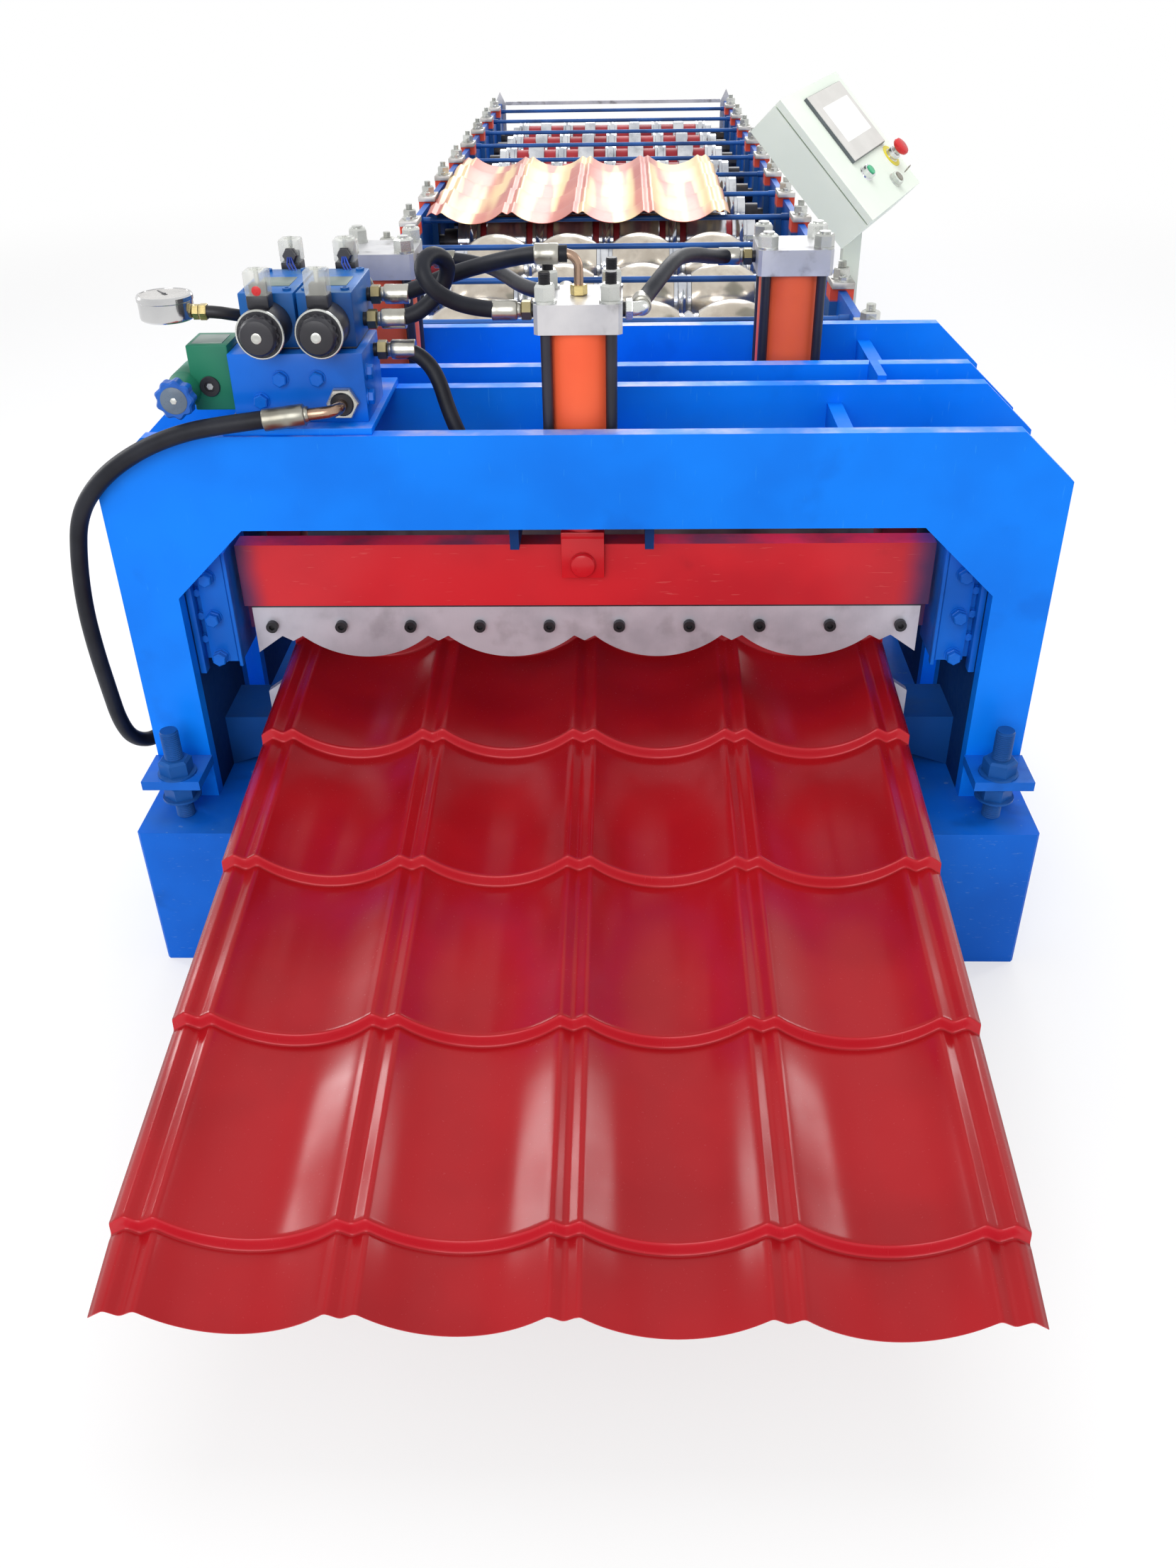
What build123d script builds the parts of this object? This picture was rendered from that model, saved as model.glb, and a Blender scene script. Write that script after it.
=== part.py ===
# A roll forming machine for wave-tile roofing sheet, seen from its delivery end.
# The strip runs towards -Y through eleven roll stations, a step press and a shear.
# X is across the machine, +Y runs into it, +Z is up. The origin is on the floor,
# on the centre line, under the front face of the shear portal. Millimetres.
import math
import os

from build123d import *

os.makedirs("parts", exist_ok=True)

# The tile profile
rib_pitch = 207.0
wave_count = 4
ridge_half = 14.5
ridge_rise = 8.0
trough_depth = 25.0
edge_margin = 30.0
edge_slope = 0.7
wave_chords = 4
sheet_thickness = 1.5
step_pitch = 237.5
step_rise = 15.0
pass_height = 408.0

# Sides of the round pieces that repeat, kept few
hose_sides = 4
bar_sides = 8
shaft_sides = 12
rod_sides = 24

# The floor frame and the four portal plates
base_half = 634.5
base_height = 231.6
base_overhang = 97.0
base_back = 663.0
bed_half = 575.0
bed_beam_width = 120.0
bed_end = 5570.0
plate_thickness = 22.0
portal_half = 619.0
leg_width = 77.0
portal_top = 769.0
opening_top = 645.0
outer_chamfer_x = 70.0
outer_chamfer_z = 64.0
inner_chamfer_x = 100.0
inner_chamfer_z = 96.0
shear_back_y = 204.0
press_front_y = 304.0
press_back_y = 532.0
web_thickness = 12.0
web_top = 560.0

# The shear
running_gap = 0.3
beam_front = 59.0
beam_depth = 34.0
beam_half = 474.0
beam_bottom = 510.0
beam_top = 600.0
web_bottom = 470.0
blade_half = 465.0
blade_thickness = 12.0
blade_inset = 4.0
scissor_gap = 0.5
blade_top = 507.0
blade_gap = 70.0
clevis_half = 29.0
cheek_thickness = 13.0
clevis_foot = 556.0
clevis_neck = 612.0
clevis_top = 622.0
seat_hole_radius = 32.0
collar_radius = 29.0
collar_top = 654.0
pin_radius = 17.5
pin_height = 576.6

# The cylinders
seat_bottom = 668.0
seat_thickness = 20.0
seat_half = 95.0
rod_radius = 18.0
bore_radius = 40.0
barrel_radius = 46.0
head_side = 107.0
head_thickness = 35.0
head_chamfer = 5.0
shear_head_base = 883.5
press_head_base = 874.0
press_axis_x = 300.0
tie_rod_radius = 7.0
tie_rod_offset = 39.7
tie_rod_stand = 31.0
piston_thickness = 34.0
piston_gap = 8.0

# The step press
die_gap = 50.0
die_half = 450.0
ram_half = 455.0
ram_depth = 150.0
ram_bottom = 520.0
die_depth = 54.0
die_relief = 6.5
table_depth = 100.0
table_height = 52.0
table_top = 314.0

# The roll stations
station_count = 11
station_pitch = 409.5
first_station = 1147.0
bar_radius = 7.5
bar_height = 580.0
wall_half = 545.0
wall_thickness = 18.0
wall_top = 600.0
slot_half = 31.0
slot_bottom = 268.0
upper_shaft_z = 479.0
lower_shaft_z = 320.0
shaft_radius = 24.0
shaft_half = 596.0
roll_half = 464.0
ring_radius = 71.0
valley_radius = 63.0
crown_radius = 96.0
drum_radius = 79.0
block_half = 27.0
block_split = 400.0
block_rise = 6.0
cap_length = 96.0
cap_width = 52.0
cap_thickness = 14.0
screw_flats = 36.0
screw_height = 24.0

half_waves = wave_count / 2
sheet_half = half_waves * rib_pitch + edge_margin
beam_back = beam_front + beam_depth
blade_front = beam_front + blade_inset
shear_axis_y = beam_front + beam_depth / 2
press_axis_y = (press_front_y + plate_thickness + press_back_y) / 2
seat_top = seat_bottom + seat_thickness
wave_chord = rib_pitch / 2 - ridge_half
wave_radius = (wave_chord**2 + (ridge_rise + trough_depth) ** 2) / (
    2 * (ridge_rise + trough_depth)
)


def save(builder, name):
    builder.part.label = name
    export_step(builder.part, f"parts/{name}.step")


def block(low, high):
    """Adds a block between its lowest and highest corners."""
    with Locations([tuple((a + b) / 2 for a, b in zip(low, high))]):
        Box(*(b - a for a, b in zip(low, high)))


def section_at(y):
    """An upright plane across the machine, whose extrusions run towards -Y."""
    return Plane.XZ.offset(-y)


def wave_height(x):
    """Height of the tile profile over the bottom of its rib valleys."""
    off_rib = abs(x - rib_pitch * round(x / rib_pitch))
    if off_rib <= ridge_half:
        return ridge_rise * off_rib / ridge_half
    if abs(x) > half_waves * rib_pitch:
        return ridge_rise - (off_rib - ridge_half) * edge_slope
    along = rib_pitch / 2 - off_rib
    return wave_radius - trough_depth - math.sqrt(wave_radius**2 - along**2)


def wave_points(half, z, shift=0.0):
    """The profile from edge to edge, with its rib valleys at height z."""
    xs = {-half, half}
    for wave in range(-wave_count // 2, wave_count // 2 + 1):
        rib = wave * rib_pitch
        xs |= {rib - ridge_half, rib, rib + ridge_half}
        if wave < wave_count // 2:
            step = 2 * wave_chord / wave_chords
            xs |= {rib + ridge_half + step * n for n in range(1, wave_chords)}
    return [(x + shift, z + wave_height(x)) for x in sorted(xs) if abs(x) <= half]


def wave_band(half, top, bottom, shift=0.0):
    """The outline between two copies of the profile, one over the other."""
    return wave_points(half, top, shift) + wave_points(half, bottom, shift)[::-1]


def over_wave(half, z, flat):
    """The outline between the profile at z and a flat edge."""
    return wave_points(half, z) + [(half, flat), (-half, flat)]


def tile_runs(risers, tail, nose):
    """Pans and risers as (y, top, bottom, direction and length).

    Each riser is given as (y, height behind it, height in front of it).
    """
    runs = []
    y_from, z_from = tail
    for y, z_high, z_low in risers:
        runs.append((y_from, z_from, z_from - sheet_thickness, (0, y - y_from, z_high - z_from)))
        runs.append((y, z_high, z_low - sheet_thickness, (0, -sheet_thickness, 0)))
        y_from, z_from = y - sheet_thickness, z_low
    y_to, z_to = nose
    runs.append((y_from, z_from, z_from - sheet_thickness, (0, y_to - y_from, z_to - z_from)))
    return runs


# The formed sheet: level through the press, then drooping past the shear
press_step_lead = 12.5
press_step_y = press_axis_y - press_step_lead
shear_step_y = press_step_y - step_pitch
droop_start = 19.4
pan_drop = 25.0
pan_drop_growth = 0.6
sheet_risers = [
    (press_step_y, pass_height, pass_height - step_rise),
    (shear_step_y, pass_height, pass_height - step_rise),
]
height = pass_height - step_rise - droop_start
for pan in range(4):
    y = shear_step_y - step_pitch * (pan + 1)
    sheet_risers.append((y, height, height - step_rise))
    height -= step_rise + pan_drop + pan_drop_growth * pan**2
nose_length = 80.0
nose_drop = 16.6
sheet_tail_y = 980.0
last_y, _, last_z = sheet_risers[-1]
sheet_tail = (sheet_tail_y, pass_height)
sheet_nose = (last_y - nose_length, last_z - nose_drop)
with BuildPart() as formed_sheet:
    for y, top, bottom, way in tile_runs(sheet_risers, sheet_tail, sheet_nose):
        with BuildSketch(section_at(y)):
            Polygon(*wave_band(sheet_half, top, bottom), align=None)
        extrude(amount=math.hypot(*way), dir=way)
save(formed_sheet, "formed_sheet")


def sheet_height(y):
    """Height of the rib valleys of the formed sheet where it crosses y."""
    behind = [r for r in sheet_risers if r[0] >= y]
    ahead = [r for r in sheet_risers if r[0] < y]
    if not behind:
        return pass_height
    y_from, z_from = behind[-1][0], behind[-1][2]
    y_to, z_to = ahead[0][0], ahead[0][1]
    return z_from + (z_to - z_from) * (y_from - y) / (y_from - y_to)


# Base and bed
with BuildPart() as front_base:
    with BuildSketch(Plane.XY):
        with Locations((0, (base_back - base_overhang) / 2)):
            Rectangle(2 * base_half, base_back + base_overhang)
    extrude(amount=base_height)
    chamfer(front_base.edges().filter_by(Axis.Z), length=4)
save(front_base, "front_base")

cross_count = 6
cross_width = 100.0
cross_bottom = 60.0
cross_top = 200.0
cross_first = 1352.0
bed_inner = bed_half - bed_beam_width
with BuildPart() as bed_frame:
    for low, high in ((-bed_half, -bed_inner), (bed_inner, bed_half)):
        block((low, base_back, 0), (high, bed_end, base_height))
    for n in range(cross_count):
        y = cross_first + n * 2 * station_pitch
        block((-bed_inner, y - cross_width / 2, cross_bottom), (bed_inner, y + cross_width / 2, cross_top))
save(bed_frame, "bed_frame")


# Portals
leg_inner = portal_half - leg_width
portal_right = [
    (leg_inner - inner_chamfer_x, opening_top),
    (leg_inner, opening_top - inner_chamfer_z),
    (leg_inner, base_height),
    (portal_half, base_height),
    (portal_half, portal_top - outer_chamfer_z),
    (portal_half - outer_chamfer_x, portal_top),
]
portal_outline = portal_right + [(-x, z) for x, z in reversed(portal_right)]
for name, fronts in (
    ("shear_portal", (0, shear_back_y)),
    ("press_portal", (press_front_y, press_back_y)),
):
    with BuildPart() as portal:
        for y in fronts:
            with BuildSketch(section_at(y)):
                Polygon(*portal_outline, align=None)
            extrude(amount=-plate_thickness)
    save(portal, name)

rib_thickness = 20.0
rib_bottom = 660.0
rib_top = 745.0
shear_rib_x = 344.0
press_rib_x = 434.0
link_x = 410.0
link_top = 775.0
link_bottom = 720.0
seat_rib_drop = 60.0
press_seat_half = 400.0
with BuildPart() as portal_webs:
    for low, high, rib_x in (
        (plate_thickness, shear_back_y, shear_rib_x),
        (press_front_y + plate_thickness, press_back_y, press_rib_x),
    ):
        for side in (-1, 1):
            xs = sorted((side * leg_inner, side * (leg_inner + web_thickness)))
            block((xs[0], low, base_height), (xs[1], high, web_top))
            xs = sorted((side * (rib_x - rib_thickness / 2), side * (rib_x + rib_thickness / 2)))
            block((xs[0], low, rib_bottom), (xs[1], high, rib_top))
    xs = (link_x - web_thickness / 2, link_x + web_thickness / 2)
    block((xs[0], shear_back_y + plate_thickness, link_bottom), (xs[1], press_front_y, link_top))
    for low, high, half, holes in (
        (plate_thickness, shear_back_y, seat_half, [(0, shear_axis_y)]),
        (
            press_front_y + plate_thickness,
            press_back_y,
            press_seat_half,
            [(-press_axis_x, press_axis_y), (press_axis_x, press_axis_y)],
        ),
    ):
        with BuildSketch(Plane.XY.offset(seat_bottom)):
            with Locations((0, (low + high) / 2)):
                Rectangle(2 * half, high - low)
            with Locations(holes):
                RegularPolygon(seat_hole_radius, shaft_sides, major_radius=False, mode=Mode.SUBTRACT)
        extrude(amount=seat_thickness)
        for x in (-half, half - web_thickness):
            block((x, low, seat_bottom - seat_rib_drop), (x + web_thickness, high, seat_bottom))
save(portal_webs, "portal_webs")

# Guide brackets on the portal legs
guide_inner = 482.0
guide_front = 44.0
guide_depth = 70.0
guide_bottom = 437.0
cover_inner = 487.0
cover_outer = 525.0
cover_thickness = 10.0
with BuildPart() as slide_guides:
    for side in (-1, 1):
        xs = sorted((side * guide_inner, side * leg_inner))
        block((xs[0], guide_front, guide_bottom), (xs[1], guide_front + guide_depth, beam_top))
        xs = sorted((side * cover_inner, side * cover_outer))
        block((xs[0], guide_front - cover_thickness, guide_bottom), (xs[1], guide_front, beam_top))
save(slide_guides, "slide_guides")

# Lower blade, its table and the lower die
lower_blade_front = blade_front + blade_thickness + scissor_gap
lower_blade_z = sheet_height(lower_blade_front)
with BuildPart() as lower_blade:
    with BuildSketch(section_at(lower_blade_front)):
        under_sheet = lower_blade_z - sheet_thickness - running_gap
        Polygon(*over_wave(blade_half, under_sheet, table_top - table_height), align=None)
    extrude(amount=-blade_thickness)
save(lower_blade, "lower_blade")

table_front = lower_blade_front + blade_thickness
gusset_reach = 90.0
with BuildPart() as tool_tables:
    block(
        (-leg_inner, table_front, table_top - table_height),
        (leg_inner, table_front + table_depth, table_top),
    )
    for side in (-1, 1):
        with BuildSketch(section_at(table_front + web_thickness)):
            Polygon(
                (side * leg_inner, table_top - table_height),
                (side * leg_inner, base_height),
                (side * (leg_inner - gusset_reach), table_top - table_height),
                align=None,
            )
        extrude(amount=web_thickness)
    block(
        (-ram_half, press_axis_y - ram_depth / 2, base_height),
        (ram_half, press_axis_y + ram_depth / 2, table_top),
    )
save(tool_tables, "tool_tables")

with BuildPart() as lower_die:
    for y, z in ((press_step_y + die_depth, pass_height), (press_step_y, pass_height - step_rise)):
        with BuildSketch(section_at(y)):
            Polygon(*over_wave(die_half, z - sheet_thickness - running_gap, table_top), align=None)
        extrude(amount=die_depth)
save(lower_die, "lower_die")

# Ears and hold-down studs at the feet of the front portal
ear_inner = 540.0
ear_outer = 622.0
ear_front = 72.0
ear_z = 288.0
ear_thickness = 14.0
stud_x = 577.0
stud_y = -47.0
stud_radius = 13.0
stud_hole = 17.0
stud_top = 372.0
nut_flats = 46.0
nut_height = 22.0
with BuildPart() as hold_down_ears:
    for side in (-1, 1):
        with BuildSketch(Plane.XY.offset(ear_z)):
            with Locations((side * (ear_inner + ear_outer) / 2, -ear_front / 2)):
                Rectangle(ear_outer - ear_inner, ear_front)
            with Locations((side * stud_x, stud_y)):
                RegularPolygon(stud_hole, bar_sides, major_radius=False, mode=Mode.SUBTRACT)
        extrude(amount=ear_thickness)
save(hold_down_ears, "hold_down_ears")

with BuildPart() as hold_down_studs:
    for side in (-1, 1):
        with BuildSketch(Plane.XY.offset(base_height)):
            with Locations((side * stud_x, stud_y)):
                RegularPolygon(stud_radius, shaft_sides)
        extrude(amount=stud_top - base_height)
        for z in (ear_z - nut_height, ear_z + ear_thickness):
            with BuildSketch(Plane.XY.offset(z)):
                with Locations((side * stud_x, stud_y)):
                    RegularPolygon(nut_flats / 2, 6, major_radius=False)
            extrude(amount=nut_height)
save(hold_down_studs, "hold_down_studs")

# The shear slide
with BuildPart() as shear_beam:
    with BuildSketch(Plane.YZ.offset(-beam_half)):
        Polygon(
            (beam_front, beam_top),
            (beam_front, beam_bottom),
            (blade_front + blade_thickness, beam_bottom),
            (blade_front + blade_thickness, web_bottom),
            (beam_back, web_bottom),
            (beam_back, beam_top),
            align=None,
        )
    extrude(amount=2 * beam_half)
    with BuildSketch(section_at(beam_front)):
        with Locations((0, pin_height)):
            RegularPolygon(pin_radius + running_gap, shaft_sides, major_radius=False)
    extrude(amount=-beam_depth, mode=Mode.SUBTRACT)
save(shear_beam, "shear_beam")

shear_z = sheet_height(blade_front) + blade_gap
with BuildPart() as shear_blade:
    with BuildSketch(section_at(blade_front)):
        Polygon(*over_wave(blade_half, shear_z, blade_top), align=None)
    extrude(amount=-blade_thickness)
save(shear_blade, "shear_blade")

shear_piston_top = shear_head_base - piston_gap
with BuildPart() as shear_rod:
    for y in (beam_front - running_gap, beam_back + running_gap + cheek_thickness):
        with BuildSketch(section_at(y)):
            with Locations((0, (clevis_foot + clevis_neck) / 2)):
                Rectangle(2 * clevis_half, clevis_neck - clevis_foot)
        extrude(amount=cheek_thickness)
    block(
        (-clevis_half, beam_front - running_gap - cheek_thickness, clevis_neck),
        (clevis_half, beam_back + running_gap + cheek_thickness, clevis_top),
    )
    with BuildSketch(section_at(beam_front - running_gap)):
        with Locations((0, pin_height)):
            RegularPolygon(pin_radius, shaft_sides)
    extrude(amount=-beam_depth - 2 * running_gap)
    for radius, low, high in (
        (collar_radius, clevis_top, collar_top),
        (rod_radius, collar_top, shear_piston_top - piston_thickness),
    ):
        with BuildSketch(Plane.XY.offset(low)):
            with Locations((0, shear_axis_y)):
                RegularPolygon(radius, rod_sides)
        extrude(amount=high - low)
    with BuildSketch(Plane.XY.offset(shear_piston_top - piston_thickness)):
        with Locations((0, shear_axis_y)):
            RegularPolygon(bore_radius - running_gap, shaft_sides)
    extrude(amount=piston_thickness)
save(shear_rod, "shear_rod")

# The press slide
with BuildPart() as upper_die:
    block(
        (-ram_half, press_axis_y - ram_depth / 2, ram_bottom),
        (ram_half, press_axis_y + ram_depth / 2, beam_top),
    )
    for back, front, z in (
        (press_step_y + die_depth, press_step_y - die_relief, pass_height),
        (press_step_y - die_relief, press_step_y - die_depth, pass_height - step_rise),
    ):
        with BuildSketch(section_at(back)):
            Polygon(*over_wave(die_half, z + die_gap, ram_bottom), align=None)
        extrude(amount=back - front)
save(upper_die, "upper_die")

press_piston_top = press_head_base - piston_gap
with BuildPart() as press_rods:
    rod_places = [(-press_axis_x, press_axis_y), (press_axis_x, press_axis_y)]
    with BuildSketch(Plane.XY.offset(beam_top)):
        with Locations(rod_places):
            RegularPolygon(rod_radius, rod_sides)
    extrude(amount=press_piston_top - piston_thickness - beam_top)
    with BuildSketch(Plane.XY.offset(press_piston_top - piston_thickness)):
        with Locations(rod_places):
            RegularPolygon(bore_radius - running_gap, shaft_sides)
    extrude(amount=piston_thickness)
save(press_rods, "press_rods")

# Cylinders: barrel, two heads and four tie rods each
cylinders = [
    (0.0, shear_axis_y, shear_head_base),
    (-press_axis_x, press_axis_y, press_head_base),
    (press_axis_x, press_axis_y, press_head_base),
]
lower_head_top = seat_top + head_thickness
with BuildPart() as cylinder_barrels:
    for x, y, head_base in cylinders:
        with BuildSketch(Plane.XY.offset(lower_head_top)):
            with Locations((x, y)):
                RegularPolygon(barrel_radius, rod_sides)
                RegularPolygon(bore_radius, shaft_sides, major_radius=False, mode=Mode.SUBTRACT)
        extrude(amount=head_base - lower_head_top)
save(cylinder_barrels, "cylinder_barrels")

with BuildPart() as cylinder_heads:
    for x, y, head_base in cylinders:
        for base in (seat_top, head_base):
            with BuildSketch(Plane.XY.offset(base)) as head:
                with Locations((x, y)):
                    Rectangle(head_side, head_side)
                chamfer(head.vertices(), length=head_chamfer)
                if base == seat_top:
                    with Locations((x, y)):
                        RegularPolygon(
                            rod_radius + running_gap, shaft_sides, major_radius=False, mode=Mode.SUBTRACT
                        )
            extrude(amount=head_thickness)
save(cylinder_heads, "cylinder_heads")

with BuildPart() as cylinder_tie_rods:
    for x, y, head_base in cylinders:
        with BuildSketch(Plane.XY.offset(lower_head_top)):
            with Locations((x, y)):
                with GridLocations(2 * tie_rod_offset, 2 * tie_rod_offset, 2, 2):
                    RegularPolygon(tie_rod_radius, bar_sides)
        extrude(amount=head_base - lower_head_top)
    with BuildSketch(Plane.XY.offset(shear_head_base + head_thickness)):
        with Locations((0, shear_axis_y)):
            with GridLocations(2 * tie_rod_offset, 2 * tie_rod_offset, 2, 2):
                RegularPolygon(tie_rod_radius, bar_sides)
    extrude(amount=tie_rod_stand)
save(cylinder_tie_rods, "cylinder_tie_rods")

# The valve block and what stands on it
valve_plate_thickness = 9.0
valve_plate = ((-446.0, 4.0), (-258.0, 226.0))
manifold_left = -432.0
manifold_right = -265.0
manifold_front = 28.0
manifold_back = 143.0
manifold_top = 863.0
manifold_base = portal_top + valve_plate_thickness
with BuildPart() as manifold_block:
    (left, front), (right, back) = valve_plate
    block((left, front, portal_top), (right, back, manifold_base))
    block((manifold_left, manifold_front, manifold_base), (manifold_right, manifold_back, manifold_top))
save(manifold_block, "manifold_block")

valve_width = 68.0
valve_xs = (-379.0, -308.0)
valve_front = 48.0
valve_back = 183.0
valve_height = 67.0
valve_top = manifold_top + valve_height
coil_radius = 28.5
coil_length = 48.0
coil_cap = 20.0
coil_cap_radius = 24.0
coil_z = 893.0
with BuildPart() as valve_bodies:
    for x in valve_xs:
        block((x - valve_width / 2, valve_front, manifold_top), (x + valve_width / 2, valve_back, valve_top))
save(valve_bodies, "valve_bodies")

with BuildPart() as valve_coils:
    for x in valve_xs:
        for y, way in ((valve_front, 1), (valve_back, -1)):
            for radius, start, length in (
                (coil_radius, 0.0, coil_length),
                (coil_cap_radius, coil_length, coil_cap),
            ):
                with BuildSketch(section_at(y - way * start)):
                    with Locations((x, coil_z)):
                        RegularPolygon(radius, shaft_sides)
                extrude(amount=way * length)
save(valve_coils, "valve_coils")

plug_side = 28.0
plug_top = 966.0
plug_inset = 26.0
with BuildPart() as coil_plugs:
    for x in valve_xs:
        for y in (valve_front - plug_inset, valve_back + plug_inset):
            block(
                (x - plug_side / 2, y - plug_side / 2, coil_z + coil_radius + running_gap),
                (x + plug_side / 2, y + plug_side / 2, plug_top),
            )
save(coil_plugs, "coil_plugs")

relief_left = -484.0
relief_front = 36.0
relief_back = 98.0
relief_bottom = 792.0
relief_top = 872.0
knob_x = -494.0
knob_z = 818.0
knob_radius = 28.5
knob_depth = 20.0
relief_barrel_radius = 22.0
neck_radius = 20.0
neck_taper = 6.0
neck_front = 8.0
with BuildPart() as relief_valve:
    block((relief_left, relief_front, relief_bottom), (manifold_left, relief_back, relief_top))
    with BuildSketch(section_at(relief_back)):
        with Locations((knob_x, knob_z)):
            RegularPolygon(relief_barrel_radius, shaft_sides)
    extrude(amount=relief_back - relief_front)
    with BuildSketch(section_at(relief_front)):
        with Locations((knob_x, knob_z)):
            RegularPolygon(neck_radius, shaft_sides)
    extrude(amount=relief_front - neck_front, taper=neck_taper)
save(relief_valve, "relief_valve")

knob_lobes = 8
knob_flute_radius = 6.0
with BuildPart() as relief_knob:
    with BuildSketch(section_at(neck_front - running_gap)):
        with Locations((knob_x, knob_z)):
            RegularPolygon(knob_radius, rod_sides)
            with PolarLocations(knob_radius + knob_flute_radius / 2, knob_lobes):
                RegularPolygon(knob_flute_radius, bar_sides, mode=Mode.SUBTRACT)
    extrude(amount=knob_depth)
save(relief_knob, "relief_knob")

gauge_x = -506.0
gauge_y = 60.0
gauge_z = 898.0
gauge_radius = 34.0
gauge_depth = 30.0
stem_radius = 8.0
stem_sunk = 4.0
stem_end = -454.0
stem_z = gauge_z + stem_radius
with BuildPart() as pressure_gauge:
    with BuildSketch(Plane.XY.offset(gauge_z)):
        with Locations((gauge_x, gauge_y)):
            RegularPolygon(gauge_radius, rod_sides)
    extrude(amount=gauge_depth)
    stem_start = gauge_x + gauge_radius - stem_sunk
    with BuildSketch(Plane.YZ.offset(stem_start)):
        with Locations((gauge_y, stem_z)):
            RegularPolygon(stem_radius, bar_sides)
    extrude(amount=stem_end - stem_start)
    with BuildSketch(Plane.XY.offset(relief_top)):
        with Locations((stem_end, gauge_y)):
            RegularPolygon(stem_radius, bar_sides)
    extrude(amount=stem_z + stem_radius - relief_top)
save(pressure_gauge, "pressure_gauge")


# The roll stations
def station_y(n):
    return first_station + n * station_pitch


def barrel_profile():
    """Radii along a barrel roll: crowned waves between pointed rib rings."""
    quarter = wave_chord / 2
    shoulder = crown_radius - wave_radius + math.sqrt(wave_radius**2 - quarter**2)
    profile = [(-roll_half, valley_radius)]
    for rib in range(-wave_count // 2, wave_count // 2 + 1):
        x = rib * rib_pitch
        profile += [(x - ridge_half, valley_radius), (x, ring_radius), (x + ridge_half, valley_radius)]
        if rib < wave_count // 2:
            middle = x + rib_pitch / 2
            profile += [(middle - quarter, shoulder), (middle, crown_radius), (middle + quarter, shoulder)]
    return profile + [(roll_half, valley_radius)]


drum_profile = [(-roll_half, drum_radius), (roll_half, drum_radius)]
barrel_rolls = (1, 2, 3)
for n in range(1, station_count):
    with BuildPart() as upper_roll:
        for x, radius in barrel_profile() if n in barrel_rolls else drum_profile:
            with BuildSketch(Plane.YZ.offset(x)):
                with Locations((station_y(n), upper_shaft_z)):
                    RegularPolygon(radius, shaft_sides)
        loft(ruled=True)
        with BuildSketch(Plane.YZ.offset(-shaft_half)):
            with Locations((station_y(n), upper_shaft_z)):
                RegularPolygon(shaft_radius, shaft_sides)
        extrude(amount=2 * shaft_half)
    save(upper_roll, f"upper_roll_{n + 1:02d}")

# The lower rolls and the first upper one, which the press hides
lower_drum_radius = 56.0
block_x = wall_half + wall_thickness / 2
lower_places = [(station_y(n), lower_shaft_z) for n in range(station_count)]
first_place = [(first_station, upper_shaft_z)]
with BuildPart() as hidden_rolls:
    for half, radius, sides, places in (
        (block_x - block_half, shaft_radius, bar_sides, lower_places),
        (roll_half, lower_drum_radius, shaft_sides, lower_places),
        (shaft_half, shaft_radius, shaft_sides, first_place),
        (roll_half, drum_radius, shaft_sides, first_place),
    ):
        with BuildSketch(Plane.YZ.offset(-half)):
            with Locations(places):
                RegularPolygon(radius, sides)
        extrude(amount=2 * half)
save(hidden_rolls, "hidden_rolls")

wall_lead = 264.75
wall_front = first_station - wall_lead
with BuildPart() as side_walls:
    for side in (-1, 1):
        start = wall_half if side > 0 else -wall_half - wall_thickness
        with BuildSketch(Plane.YZ.offset(start)):
            with Locations(((wall_front + bed_end) / 2, (base_height + wall_top) / 2)):
                Rectangle(bed_end - wall_front, wall_top - base_height)
            with Locations([(station_y(n), (slot_bottom + wall_top) / 2) for n in range(station_count)]):
                Rectangle(2 * slot_half, wall_top - slot_bottom, mode=Mode.SUBTRACT)
        extrude(amount=wall_thickness)
save(side_walls, "side_walls")

cap_bottom = wall_top + block_rise
for name, low, high in (
    ("lower_bearing_blocks", slot_bottom, block_split),
    ("upper_bearing_blocks", block_split, cap_bottom),
):
    with BuildPart() as bearing_blocks:
        for side in (-1, 1):
            with BuildSketch(Plane.YZ.offset(side * block_x - block_half)):
                with Locations([(station_y(n), (low + high) / 2) for n in range(station_count)]):
                    Rectangle(2 * slot_half, high - low)
                if high == cap_bottom:
                    with Locations([(station_y(n), upper_shaft_z) for n in range(station_count)]):
                        RegularPolygon(
                            shaft_radius + running_gap,
                            bar_sides,
                            major_radius=False,
                            rotation=180 / bar_sides,
                            mode=Mode.SUBTRACT,
                        )
            extrude(amount=2 * block_half)
    save(bearing_blocks, name)

with BuildPart() as adjusting_screws:
    for side in (-1, 1):
        for n in range(station_count):
            with BuildSketch(Plane.XY.offset(cap_bottom)):
                with Locations((side * block_x, station_y(n))):
                    Rectangle(cap_width, cap_length)
            extrude(amount=cap_thickness)
            with BuildSketch(Plane.XY.offset(cap_bottom + cap_thickness)):
                with Locations((side * block_x, station_y(n))):
                    RegularPolygon(screw_flats / 2, 6, major_radius=False)
            extrude(amount=screw_height)
save(adjusting_screws, "adjusting_screws")

bar_lead = 213.5
bar_first = first_station - bar_lead
with BuildPart() as tie_bars:
    with BuildSketch(Plane.YZ.offset(-wall_half)):
        with Locations([(bar_first + n * station_pitch, bar_height) for n in range(1, station_count + 1)]):
            RegularPolygon(bar_radius, bar_sides)
    extrude(amount=2 * wall_half)
save(tie_bars, "tie_bars")

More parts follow.
